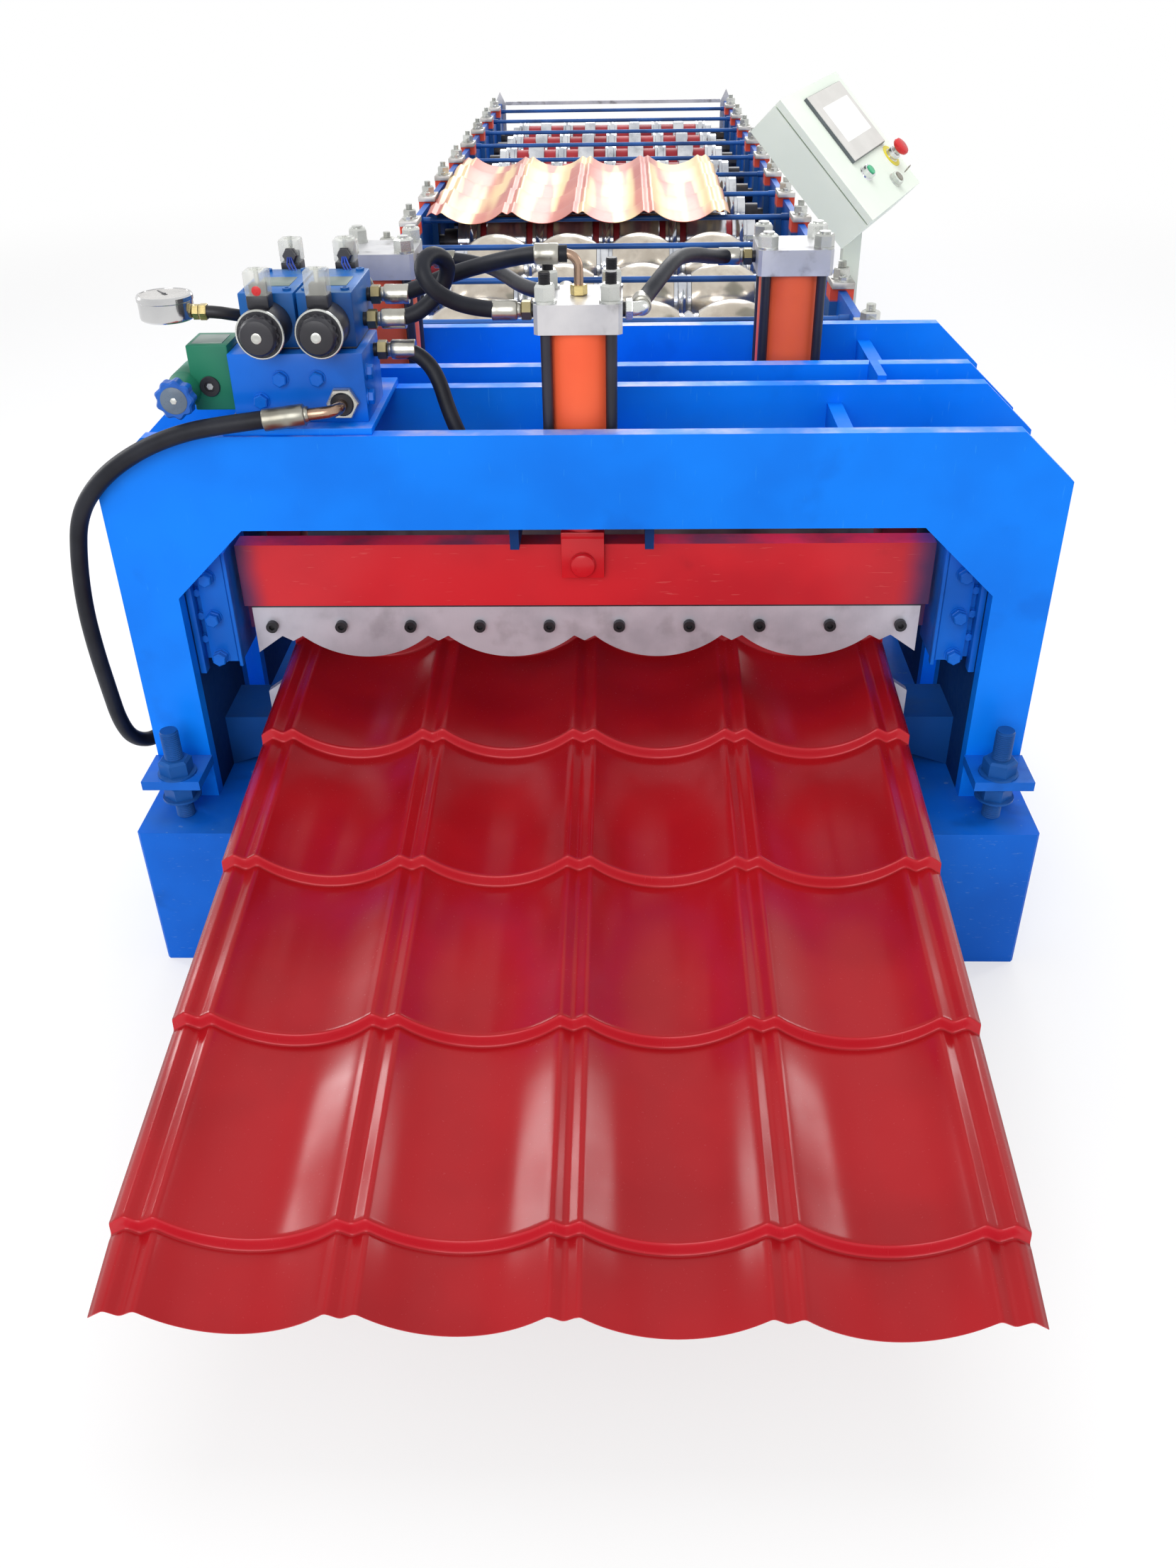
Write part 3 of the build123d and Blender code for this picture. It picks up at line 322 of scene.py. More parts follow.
# Shapes are written in millimetres and gathered piece by piece, one finish for each face
class Piece:
    def __init__(self, name, body="frame"):
        self.name, self.body = name, body
        self.mesh = bmesh.new()
        self.finishNames = []

    def paint(self, faces, finishName):
        if finishName not in self.finishNames:
            self.finishNames.append(finishName)
        for face in faces:
            face.material_index = self.finishNames.index(finishName)

    def shell(self, rings, finishName):
        rows = [[self.mesh.verts.new(Vector(place) * mm) for place in ring] for ring in rings]
        faces = []
        for low, high in zip(rows, rows[1:]):
            for n in range(len(low)):
                m = (n + 1) % len(low)
                faces.append(self.mesh.faces.new((low[n], low[m], high[m], high[n])))
        faces += [self.mesh.faces.new(rows[0][::-1]), self.mesh.faces.new(rows[-1])]
        self.paint(faces, finishName)

    def block(self, low, high, finishName, bevel=1.0):
        box = bmesh.new()
        middle = (Vector(low) + Vector(high)) / 2 * mm
        size = (Vector(high) - Vector(low)) * mm
        bmesh.ops.create_cube(box, size=1,
            matrix=Matrix.Translation(middle) @ Matrix.Diagonal((*size, 1)))
        bmesh.ops.bevel(box, geom=box.edges[:], offset=bevel * mm, segments=2, profile=0.5,
            affect="EDGES")
        places = {vert: self.mesh.verts.new(vert.co) for vert in box.verts}
        self.paint([self.mesh.faces.new([places[vert] for vert in face.verts])
            for face in box.faces], finishName)
        box.free()

    def turned(self, place, way, steps, finishName, sides=32):
        across, up, along = axesFor(way)
        rings = [circle(Vector(place) + along * distance, across, up, radius, sides)
            for distance, radius in steps]
        self.shell(rings, finishName)

    def pin(self, place, way, radius, length, finishName, sides=24):
        self.turned(place, way, [(0, radius), (length, radius)], finishName, sides)

    def prism(self, outline, place, way, length, finishName, lip=0.0, across=None):
        across, up, along = axesFor(way, across)
        middle = Vector([sum(v) / len(outline) for v in zip(*outline)])
        rings, ends = [], [(0, 0), (length, 0)]
        if lip:
            ends = [(0, lip), (lip, 0), (length - lip, 0), (length, lip)]
        for distance, inset in ends:
            ring = []
            for point in outline:
                off = Vector(point) - middle
                off = middle + off * (1 - inset / max(off.length, 0.1))
                ring.append(Vector(place) + across * off.x + up * off.y + along * distance)
            rings.append(ring)
        self.shell(rings, finishName)

    def tube(self, route, radius, finishName, sides=20):
        places = [Vector(place) for place in route]
        across, rings = None, []
        for n, place in enumerate(places):
            way = (places[min(n + 1, len(places) - 1)] - places[max(n - 1, 0)]).normalized()
            if across is None:
                across = axesFor(way)[0]
            else:
                across = (across - way * across.dot(way)).normalized()
            up = way.cross(across)
            rings.append(circle(place, across, up, radius, sides))
        self.shell(rings, finishName)

    def done(self, slot, *replaced, smooth=32):
        bmesh.ops.recalc_face_normals(self.mesh, faces=self.mesh.faces[:])
        mesh = bpy.data.meshes.new(self.name)
        self.mesh.to_mesh(mesh)
        self.mesh.free()
        for finishName in self.finishNames:
            mesh.materials.append(finishes[finishName])
        return ridePiece(self.name, mesh, self.body, replaced, smooth)


def axesFor(way, across=None):
    along = Vector(way).normalized()
    if across is None:
        across = (1, 0, 0) if abs(along.x) < 0.9 else (0, 1, 0)
    across = (Vector(across) - along * Vector(across).dot(along)).normalized()
    return across, along.cross(across), along


def circle(middle, across, up, radius, sides):
    return [middle + (across * math.cos(a) + up * math.sin(a)) * radius
        for a in (math.tau * n / sides for n in range(sides))]


def ridePiece(name, mesh, body, replaced=(), smooth=32):
    mesh.shade_smooth()
    mesh.set_sharp_from_angle(angle=math.radians(smooth))
    made = bpy.data.objects.new(name, mesh)
    bpy.context.collection.objects.link(made)
    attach(made, body)
    if replaced:
        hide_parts(*replaced)
    return made


def cogOutline(radius, teeth, depth, share=0.5, steps=4):
    outline = []
    for n in range(teeth):
        for m in range(2 * steps):
            turn = math.tau * (n + m / (2 * steps)) / teeth
            swell = math.cos(math.pi * m / steps)
            reach = radius - depth * (share - swell * 0.5)
            outline.append((math.cos(turn) * reach, math.sin(turn) * reach))
    return outline


def mirrored(low, high, side):
    return sorted((side * low, side * high))


# Geometry Nodes for what repeats: hex heads, cap screws and threads on points, in millimetres
class Growth(Nodes):
    def __init__(self, name, sizes):
        self.tree = bpy.data.node_groups.new(name, "GeometryNodeTree")
        self.socket("Geometry", "Geometry", "OUTPUT")
        self.socket("Geometry", "Geometry")
        for size, value in sizes.items():
            whole = isinstance(value, int)
            made = self.socket(size, "Int" if whole else "Float")
            made.default_value = value if whole else value * mm
        self.socket("Finish", "Material")
        self.given = self.tree.nodes.new("NodeGroupInput")

    def socket(self, name, kind, side="INPUT"):
        kind = "NodeSocket" + kind
        return self.tree.interface.new_socket(name, in_out=side, socket_type=kind)

    def size(self, name):
        return Wire(self, self.given.outputs[name])

    def rod(self, radius, height, base=0.0, sides=6, top=None):
        kind = "GeometryNodeMeshCylinder" if top is None else "GeometryNodeMeshCone"
        radii = {"Radius": radius} if top is None else {"Radius Bottom": radius, "Radius Top": top}
        made = self.node(kind, None, {"Vertices": sides, "Depth": height, **radii})
        lift = base + height * 0.5 if top is None else base
        offset = self.node("ShaderNodeCombineXYZ", None, {"Z": lift})
        return self.node("GeometryNodeTransform", None, {"Geometry": made, "Translation": offset})

    def joined(self, *parts):
        join = self.tree.nodes.new("GeometryNodeJoinGeometry")
        for part in parts:
            self.tree.links.new(part.socket, join.inputs[0])
        return Wire(self, join.outputs[0])

    def onPoints(self, part):
        points = self.node("GeometryNodeMeshToPoints", None, {"Mesh": self.size("Geometry")})
        way = self.node("GeometryNodeInputNamedAttribute", {"data_type": "FLOAT_VECTOR"},
            {"Name": "way"})
        turn = self.node("FunctionNodeAlignRotationToVector", {"axis": "Z"}, {"Vector": way})
        placed = self.node("GeometryNodeInstanceOnPoints", None,
            {"Points": points, "Instance": part, "Rotation": turn})
        chance = self.node("FunctionNodeRandomValue", {"data_type": "FLOAT"},
            {2: 0.0, 3: math.tau, "Seed": 7}, out=1)
        spin = self.node("ShaderNodeCombineXYZ", None, {"Z": chance})
        turned = self.node("GeometryNodeRotateInstances", None,
            {"Instances": placed, "Rotation": spin})
        real = self.node("GeometryNodeRealizeInstances", None, {"Geometry": turned})
        dressed = self.node("GeometryNodeSetMaterial", None,
            {"Geometry": real, "Material": self.size("Finish")})
        result = self.tree.nodes.new("NodeGroupOutput")
        self.tree.links.new(dressed.socket, result.inputs[0])
        return self.tree


def hexTree():
    grown = Growth("hexFastener", {"head": 10.0, "height": 8.0, "washer": 12.0, "under": 1.0,
        "shank": 1.0, "end": 0.2})
    radius, height = grown.size("head"), grown.size("height")
    washer = grown.size("under")
    head = grown.rod(radius, height * 0.84, washer)
    crown = grown.rod(radius, height * 0.16, washer + height * 0.84, top=radius * 0.84)
    ring = grown.rod(grown.size("washer"), washer, sides=24)
    shank = grown.rod(grown.size("shank"), grown.size("end"), washer + height, sides=14)
    return grown.onPoints(grown.joined(head, crown, ring, shank))


def capScrewTree():
    grown = Growth("capScrew", {"head": 8.0, "height": 8.0, "socket": 4.0})
    radius, height = grown.size("head"), grown.size("height")
    solid = grown.rod(radius, height, sides=28)
    socket = grown.rod(grown.size("socket"), height, height * 0.45)
    cut = grown.node("GeometryNodeMeshBoolean", {"operation": "DIFFERENCE"},
        {"Mesh 1": solid, "Mesh 2": socket})
    return grown.onPoints(cut)


def threadTree():
    grown = Growth("thread", {"radius": 7.0, "height": 30.0, "pitch": 1.8, "rings": 16})
    radius, pitch = grown.size("radius"), grown.size("pitch")
    core = grown.rod(radius * 0.9, grown.size("height"), sides=18)
    line = grown.node("GeometryNodeMeshLine", {"mode": "OFFSET"}, {"Count": grown.size("rings"),
        "Offset": grown.node("ShaderNodeCombineXYZ", None, {"Z": pitch})})
    low = grown.rod(radius * 0.9, pitch * 0.45, pitch * 0.05, sides=18, top=radius)
    high = grown.rod(radius, pitch * 0.45, pitch * 0.5, sides=18, top=radius * 0.9)
    rings = grown.node("GeometryNodeInstanceOnPoints", None,
        {"Points": line, "Instance": grown.joined(low, high)})
    return grown.onPoints(grown.joined(core, rings))


# Directions: outward is towards the outfeed, inward back along the roll line
upward, outward, inward = (0, 0, 1), (0, -1, 0), (0, 1, 0)
rightward, leftward = (1, 0, 0), (-1, 0, 0)
trees = {"hex": hexTree(), "capScrew": capScrewTree(), "thread": threadTree()}


def grow(name, tree, places, look, finishName, body="frame", replaced=()):
    seeds = bpy.data.meshes.new(name + "Seeds")
    seeds.from_pydata([Vector(place) * mm for place, way in places], [], [])
    ways = seeds.attributes.new("way", "FLOAT_VECTOR", "POINT")
    for n, (place, way) in enumerate(places):
        ways.data[n].vector = way
    source = bpy.data.objects.new(name + "Source", seeds)
    bpy.context.collection.objects.link(source)
    modifier = source.modifiers.new("grown", "NODES")
    modifier.node_group = trees[tree]
    for socket in trees[tree].interface.items_tree:
        if socket.in_out == "INPUT" and socket.name in look:
            value = look[socket.name]
            modifier[socket.identifier] = value if isinstance(value, int) else value * mm
        elif socket.in_out == "INPUT" and socket.name == "Finish":
            modifier[socket.identifier] = finishes[finishName]
    graph = bpy.context.evaluated_depsgraph_get()
    mesh = bpy.data.meshes.new_from_object(source.evaluated_get(graph), depsgraph=graph)
    mesh.name = name
    bpy.data.objects.remove(source)
    return ridePiece(name, mesh, body, replaced, 30)


# The wave-tile sheet: a fine profile swept over pans and rounded risers
tile = {
    "ribPitch": 207.0, "waves": 4, "ridgeHalf": 14.5, "ridgeRise": 8.0, "depth": 25.0,
    "edge": 30.0, "edgeSlope": 0.7, "rounding": 3.2, "thickness": 1.5, "step": 15.0,
    "riser": [(6, 0.0), (2.4, 0.0), (1.2, 0.035), (0.4, 0.12), (0, 0.24), (-0.4, 0.5), (-0.8, 0.8),
        (-1.4, 0.92), (-2.6, 0.985), (-4.2, 1.0), (-8, 1.0)],
}
waveChord = tile["ribPitch"] / 2 - tile["ridgeHalf"]
waveFall = tile["ridgeRise"] + tile["depth"]
waveRadius = (waveChord ** 2 + waveFall ** 2) / (2 * waveFall)


def fromRib(x):
    return abs(x - tile["ribPitch"] * round(x / tile["ribPitch"]))


def plainProfile(x):
    offRib = fromRib(x)
    if offRib <= tile["ridgeHalf"]:
        return tile["ridgeRise"] * offRib / tile["ridgeHalf"]
    if abs(x) > tile["waves"] / 2 * tile["ribPitch"]:
        return tile["ridgeRise"] - (offRib - tile["ridgeHalf"]) * tile["edgeSlope"]
    along = tile["ribPitch"] / 2 - offRib
    return waveRadius - tile["depth"] - math.sqrt(waveRadius ** 2 - along ** 2)


def tileProfile(x):
    return sum(plainProfile(x + tile["rounding"] * n / 3) for n in range(-3, 4)) / 7


def profilePlaces():
    half = tile["waves"] / 2 * tile["ribPitch"] + tile["edge"]
    places, x = [], -half
    while x < half:
        places.append(x)
        x += 1.6 if fromRib(x) < 22 else 7.0
    return places + [half]


def sheetRoute(tail, risers, nose):
    route = [tail]
    for y, high, low in risers:
        for lead, share in tile["riser"]:
            route.append((y + lead, high + (low - high) * share))
    route.append(nose)
    filled = [route[0]]
    for (y0, z0), (y1, z1) in zip(route, route[1:]):
        parts = max(1, round(abs(y1 - y0) / 60))
        filled += [(y0 + (y1 - y0) * n / parts, z0 + (z1 - z0) * n / parts)
            for n in range(1, parts + 1)]
    return filled


def layTile(name, route, shift, finishName, slot, replaced):
    surface = [(x, tileProfile(x)) for x in profilePlaces()]
    piece, rings = Piece(name), []
    for n, (y, z) in enumerate(route):
        y0, z0 = route[max(n - 1, 0)]
        y1, z1 = route[min(n + 1, len(route) - 1)]
        run = math.hypot(y1 - y0, z1 - z0)
        dropY, dropZ = (z0 - z1) / run * tile["thickness"], (y1 - y0) / run * tile["thickness"]
        ring = [(x + shift, y, z + h) for x, h in surface]
        ring += [(x + shift, y + dropY, z + h + dropZ) for x, h in reversed(surface)]
        rings.append(ring)
    piece.shell(rings, finishName)
    return piece.done(slot, replaced, smooth=60)


formed = {
    "tail": (980, 408), "firstStep": 416.5, "pitch": 237.5, "height": 408, "droopStart": 19.4,
    "drop": 25.0, "dropGrowth": 0.6, "noseLength": 80.0, "noseDrop": 16.6,
}
panTop, formedRisers = formed["height"], []
for pan in range(6):
    panY = formed["firstStep"] - pan * formed["pitch"]
    if pan == 2:
        panTop = panTop - tile["step"] - formed["droopStart"]
    formedRisers.append((panY, panTop, panTop - tile["step"]))
    if pan >= 2:
        panTop -= tile["step"] + formed["drop"] + formed["dropGrowth"] * (pan - 2) ** 2
formedNose = (formedRisers[-1][0] - formed["noseLength"], formedRisers[-1][2] - formed["noseDrop"])
layTile("formedTile", sheetRoute(formed["tail"], formedRisers, formedNose), 0, "sheetRed",
    "sheet_red", "formed_sheet")

sample = {
    "front": 2490.0, "back": 3580.0, "pitch": 241.0, "first": 2610.0, "shift": -80.0,
    "lowBar": 2571.5, "highBar": 3390.5, "base": 614.3,
}


def sampleRise(y):
    return tile["step"] * ((y - sample["first"]) % sample["pitch"]) / sample["pitch"]


def sampleFoot(y):
    low, high = sample["lowBar"], sample["highBar"]
    lean = (sampleRise(high) - sampleRise(low)) / (high - low)
    return sample["base"] - sampleRise(low) - lean * (y - low)


sampleRisers = []
for pan in range(3, -1, -1):
    panY = sample["first"] + pan * sample["pitch"]
    sampleRisers.append((panY, sampleFoot(panY), sampleFoot(panY) + tile["step"]))
sampleEnds = [(y, sampleFoot(y) + sampleRise(y)) for y in (sample["back"], sample["front"])]
layTile("sampleTile", sheetRoute(sampleEnds[0], sampleRisers, sampleEnds[1]), sample["shift"],
    "sampleRed", "sheet_red", "sample_sheet")
print("sheets laid")

# Rolls: crowned barrels first, then drums with rib rings, spacers and sleeves
rollLook = {
    "upperZ": 479.0, "lowerZ": 320.0, "first": 1147.0, "pitch": 409.5, "stations": 11,
    "half": 464.0, "valley": 63.0, "ring": 71.0, "crown": 96.0, "drum": 79.0, "shaft": 24.0,
    "shaftEnd": 596.0, "sleeve": 40.0, "spacer": 58.0, "lowerDrum": 56.0, "barrels": (2, 3, 4),
    "sides": 48, "drumHalf": {5: 62, 6: 56, 7: 48, 8: 40, 9: 32, 10: 26, 11: 24},
}


def ribRing(x, low, high):
    half = tile["ridgeHalf"]
    return [(x - half - 8, low), (x - half - 7.5, low + 2.5), (x - half + 1, low + 2.5),
        (x - half + 2, low), (x - 5, high - 2), (x, high), (x + 5, high - 2), (x + half - 2, low),
        (x + half - 1, low + 2.5), (x + half + 7.5, low + 2.5), (x + half + 8, low)]


def drumSteps(low, high, radius, edge):
    return [(low, radius - edge), (low + edge, radius), (high - edge, radius),
        (high, radius - edge)]


def makeRoll(number):
    look, barrel = rollLook, number in rollLook["barrels"]
    y = look["first"] + (number - 1) * look["pitch"]
    roll = Piece(f"formingRoll{number:02d}", f"upper_roll_{number:02d}_shaft")
    start = (0, y, look["upperZ"])

    def band(steps, finishName):
        roll.turned(start, rightward, steps, finishName, look["sides"])

    ribs = [n * tile["ribPitch"] for n in range(-2, 3)]
    for rib in ribs:
        lift = 0 if barrel else 6
        band(ribRing(rib, look["valley"] + lift, look["ring"] + lift), "rollChrome")
    for rib in ribs[:-1]:
        middle = rib + tile["ribPitch"] / 2
        inner = rib + tile["ridgeHalf"] + 8.6
        outer = rib + tile["ribPitch"] - tile["ridgeHalf"] - 8.6
        if barrel:
            steps = []
            for n in range(17):
                x = inner + (outer - inner) * n / 16
                rise = waveRadius - math.sqrt(waveRadius ** 2 - (x - middle) ** 2)
                steps.append((x, look["crown"] - rise))
            band([(inner, steps[0][1] - 6)] + steps + [(outer, steps[-1][1] - 6)], "rollBronze")
        else:
            half = look["drumHalf"][number]
            band(drumSteps(middle - half, middle + half, look["drum"], 3), "rollChrome")
            for low, high in ((inner, middle - half - 0.6), (middle + half + 0.6, outer)):
                band([(low, look["spacer"]), (high, look["spacer"])], "spacerRed")
    for side in (-1, 1):
        ends = mirrored(ribs[-1] + tile["ridgeHalf"] + 8.6, look["half"], side)
        band(drumSteps(*ends, look["valley"], 1), "rollChrome")
        ends = mirrored(look["half"] + 0.6, 508, side)
        band([(ends[0], look["sleeve"]), (ends[1], look["sleeve"])],
            "spacerRed" if number == 4 and side < 0 else "rollBlack")
    band(drumSteps(-look["shaftEnd"], look["shaftEnd"], look["shaft"], 3), "rollBlack")
    roll.done("roll_steel", f"upper_roll_{number:02d}")


for rollNumber in range(2, rollLook["stations"] + 1):
    makeRoll(rollNumber)

lowerRolls = Piece("lowerRolls")
for station in range(rollLook["stations"]):
    y = rollLook["first"] + station * rollLook["pitch"]
    heights = [(rollLook["lowerZ"], 527.0, rollLook["lowerDrum"])]
    if station == 0:
        heights.append((rollLook["upperZ"], rollLook["shaftEnd"], rollLook["drum"]))
    for z, shaftEnd, drum in heights:
        lowerRolls.turned((0, y, z), rightward, drumSteps(-shaftEnd, shaftEnd, 24, 2), "rollBlack",
            24)
        for rib in range(-2, 2):
            low, high = rib * tile["ribPitch"] + 1, (rib + 1) * tile["ribPitch"] - 1
            lowerRolls.turned((0, y, z), rightward, [(low, drum - 6), (low + 16, drum - 6),
                (low + 24, drum), (high - 24, drum), (high - 16, drum - 6), (high, drum - 6)],
                "rollBronze", 32)
        for side in (-1, 1):
            ends = mirrored(415, rollLook["half"], side)
            lowerRolls.turned((0, y, z), rightward, [(ends[0], drum - 6), (ends[1], drum - 6)],
                "rollChrome", 32)
lowerRolls.done("roll_steel", "hidden_rolls")
print("rolls made:", rollLook["stations"])

# Stands: caps, adjusting screws and their bolts along both side walls
stand = {
    "x": 554.0, "capBottom": 606.0, "capTop": 620.0, "screwTop": 644.0, "capHalf": (26.0, 48.0),
}
stationYs = [rollLook["first"] + n * rollLook["pitch"] for n in range(rollLook["stations"])]
caps = Piece("bearingCaps")
for side in (-1, 1):
    for y in stationYs:
        x = side * stand["x"]
        caps.block((x - stand["capHalf"][0], y - stand["capHalf"][1], stand["capBottom"]),
            (x + stand["capHalf"][0], y + stand["capHalf"][1], stand["capTop"]), "standSteel", 1.5)
caps.done("zinc", "adjusting_screws")
capBolts = [((side * stand["x"], y + lead, stand["capTop"]), upward)
    for side in (-1, 1) for y in stationYs for lead in (-33, 33)]
grow("capBolts", "hex", capBolts, {"head": 11.0, "height": 9.0, "washer": 13.0, "under": 2.0,
    "shank": 5.0, "end": 3.0}, "zincSteel")
screwTops = [((side * stand["x"], y, stand["capTop"]), upward) for side in (-1, 1)
    for y in stationYs]
grow("adjustingNuts", "hex", screwTops, {"head": 20.0, "height": 22.0, "washer": 23.0,
    "under": 2.5, "shank": 1.0, "end": 1.0}, "zincSteel")
threadTops = [((x, y, stand["screwTop"]), way) for (x, y, z), way in screwTops]
grow("adjustingThreads", "thread", threadTops, {"radius": 10.0, "height": 14.0, "pitch": 2.0,
    "rings": 7}, "zincSteel")

bars = Piece("tieBars")
for n in range(1, rollLook["stations"] + 1):
    y = 933.5 + n * rollLook["pitch"]
    bars.pin((-545, y, 580), rightward, 7.5, 1090, "barBlue", 20)
    for side in (-1, 1):
        ends = mirrored(545, 522, side)
        bars.turned((0, y, 580), rightward, [(ends[0], 10), (ends[1], 10)], "barBlue", 20)
bars.done("portal_blue", "tie_bars")
print("stands made")

# Cylinders: barrels, tie rods, nuts, and the clevis that holds the shear beam
cylinderLook = {
    "axes": [(0.0, 76.0, 883.5), (-300.0, 429.0, 874.0), (300.0, 429.0, 874.0)],
    "lowerTop": 723.0, "barrel": 46.0, "rod": 7.0, "rodOffset": 39.7, "headHeight": 35.0,
}
barrels, tieRods = Piece("cylinderTubes"), Piece("cylinderTieRods")
headNuts, headBolts = [], []
for x, y, headBase in cylinderLook["axes"]:
    length = headBase - cylinderLook["lowerTop"]
    barrels.pin((x, y, cylinderLook["lowerTop"]), upward, cylinderLook["barrel"], length,
        "barrelOrange", 64)
    for acrossX in (-1, 1):
        for acrossY in (-1, 1):
            offset = cylinderLook["rodOffset"]
            corner = (x + acrossX * offset, y + acrossY * offset)
            tieRods.pin((*corner, cylinderLook["lowerTop"]), upward, cylinderLook["rod"], length,
                "rodBlack")
            top = headBase + cylinderLook["headHeight"]
            (headNuts if x == 0 else headBolts).append(((*corner, top), upward))
barrels.done("barrel_orange", "cylinder_barrels")
tieRods.done("black_steel", "cylinder_tie_rods")
nutLook = {"head": 13.2, "height": 19.0, "washer": 14.5, "under": 3.0, "shank": 1.0, "end": 0.5}
grow("headNuts", "hex", headNuts, nutLook, "zincSteel")
grow("headStuds", "thread", [((x, y, z + 4), way) for (x, y, z), way in headNuts],
    {"radius": 7.4, "height": 31.0, "pitch": 1.75, "rings": 17}, "blackOxide")
grow("headBolts", "hex", headBolts, {**nutLook, "head": 14.6, "height": 17.0, "shank": 8.0,
    "end": 3.0}, "zincSteel")

clevis = Piece("shearClevis", "shear_slide")
for low, high in ((45.7, 58.7), (93.3, 106.3)):
    clevis.block((-29, low, 556), (29, high, 614), "clevisRed", 1.5)
clevis.block((-29, 45.7, 612), (29, 106.3, 622), "clevisRed", 1.5)
clevis.turned((0, 93, 576.6), outward, [(0, 17.2), (47.3, 17.2), (52, 17.2), (54.5, 15.5),
    (56, 11), (56.6, 4)], "clevisRed", 40)
clevis.turned((0, 76, 620), upward, [(0, 29), (31, 29), (34, 26)], "clevisRed", 48)
clevis.pin((0, 76, 652), upward, 18, 190, "rodChrome", 40)
clevis.pin((0, 76, 841), upward, 39.5, 34, "blackOxide", 40)
clevis.done("beam_red", "shear_rod")

# The upper blade rides with the slide, the lower one stands under the sheet
blade = {
    "half": 465.0, "edge": 453.52, "top": 507.0, "faces": (63.0, 75.0), "paintedShadowStrip": (506.5, 510.5),
    "lowerEdge": 383.0, "lowerBottom": 262.0, "lowerFaces": (75.5, 87.5),
}
bladeXs = [x for x in profilePlaces() if abs(x) < blade["half"]] + [blade["half"]]
bladeXs[0] = -blade["half"]


def makeBlade(piece, edge, far, faces):
    outline = [(x, edge + plainProfile(x)) for x in bladeXs]
    outline += [(blade["half"], far), (-blade["half"], far)]
    piece.shell([[(x, y, z) for x, z in outline] for y in faces], "toolSteel")


bladePiece = Piece("shearBlade", "shear_slide")
makeBlade(bladePiece, blade["edge"], blade["top"], blade["faces"])
# A thin dark strip along the top of the blade: a painted shadow line under the beam's lower edge
bladePiece.block((-blade["half"], 61.6, blade["paintedShadowStrip"][0]),
    (blade["half"], 64, blade["paintedShadowStrip"][1]), "rodBlack", 0.4)
bladePiece.done("tool_steel", "shear_blade")
bladePiece = Piece("lowerBlade")
makeBlade(bladePiece, blade["lowerEdge"], blade["lowerBottom"], blade["lowerFaces"])
bladePiece.done("tool_steel", "lower_blade")
bladeScrews = [((n * 97.7 - 439.6, 63, 478), outward) for n in range(10)]
grow("bladeScrews", "capScrew", bladeScrews, {"head": 8.2, "height": 8.0, "socket": 4.4},
    "blackOxide", "shear_slide")

# Guides at both ends of the shear beam
guideLook = {
    "plates": [((533.5, 26, 421.5), (541.8, 44, 552)), ((481.5, 32, 430), (486.2, 44, 600)),
               ((487.5, 32.8, 437.5), (524.5, 34.2, 598))],
    "guideNuts": (510, 32.8, (566, 506, 446), {
        "head": 10.6, "height": 6.0, "washer": 11.5, "under": 1.2, "shank": 5.0, "end": 6.0}),
    "guideBolts": (510, 26, (566, 506, 446), {
        "head": 9.8, "height": 7.5, "washer": 5.0, "under": 1.0}),
    "guideSmallBolts": (530, 42, (540, 505, 470), {
        "head": 6.2, "height": 5.0, "washer": 7.0, "under": 1.0}),
}
guides = Piece("guidePlates")
for side in (-1, 1):
    for (x0, *low), (x1, *high) in guideLook["plates"]:
        xs = mirrored(x0, x1, side)
        guides.block((xs[0], *low), (xs[1], *high), "boltBlue", 0.6)
guides.done("portal_blue")
for name in ("guideNuts", "guideBolts", "guideSmallBolts"):
    x, y, heights, sizes = guideLook[name]
    places = [((side * x, y, z), outward) for side in (-1, 1) for z in heights]
    grow(name, "hex", places, sizes, "boltBlue")

# Posts beside the press die, seen through the gap over the shear beam
posts = Piece("pressPosts")
for side in (-1, 1):
    xs = mirrored(470, 526, side)
    posts.block((xs[0], 395, 380), (xs[1], 463, 612), "spacerRed", 1.5)
posts.done("beam_red")

# Hold-down studs at the feet
foot = {"x": 577.0, "y": -47.0, "base": 231.6, "ear": 288.0, "earTop": 302.0}
studPlaces = [((side * foot["x"], foot["y"], foot["base"]), upward) for side in (-1, 1)]
grow("holdDownStuds", "thread", studPlaces, {"radius": 13.0, "height": 140.0, "pitch": 3.0,
    "rings": 46}, "studBlue", replaced=("hold_down_studs",))
for name, base in (("holdDownNuts", foot["earTop"]), ("holdDownLowNuts", foot["ear"] - 25)):
    grow(name, "hex", [((x, y, base), way) for (x, y, z), way in studPlaces],
        {"head": 23.5, "height": 22.0, "washer": 27.0, "under": 3.0}, "studBlue")
print("cylinders, guides and feet made")

# The valve block, its coils, plugs, relief valve and gauge
valveLook = {
    "xs": (-379.0, -308.0), "front": 48.0, "back": 183.0, "coilZ": 893.0,
    "plugInset": 26.0, "manifold": ((-432.0, 28.0, 778.0), (-265.0, 143.0, 863.0)),
    "plate": ((-446.0, 4.0, 769.0), (-258.0, 226.0, 778.0)),
}
valves = Piece("valveBlock")
valves.block(*valveLook["manifold"], "manifoldBlue", 1.2)
valves.block(*valveLook["plate"], "portalBlue", 1.2)
valves.done("valve_blue", "manifold_block")
bodies = Piece("valveBodies")
for x in valveLook["xs"]:
    bodies.block((x - 34, 48, 865), (x + 34, 183, 930), "valveBlue", 1.6)
    bodies.block((x - 33, 49, 863), (x + 33, 182, 865.4), "rollBlack", 0.3)
    bodies.block((x - 20, 84, 929.6), (x + 22, 132, 930.8), "barePlate", 0.3)
bodies.done("valve_blue", "valve_bodies")
coils, plugs, dots = Piece("valveCoils"), Piece("coilPlugs"), Piece("coilLamps")
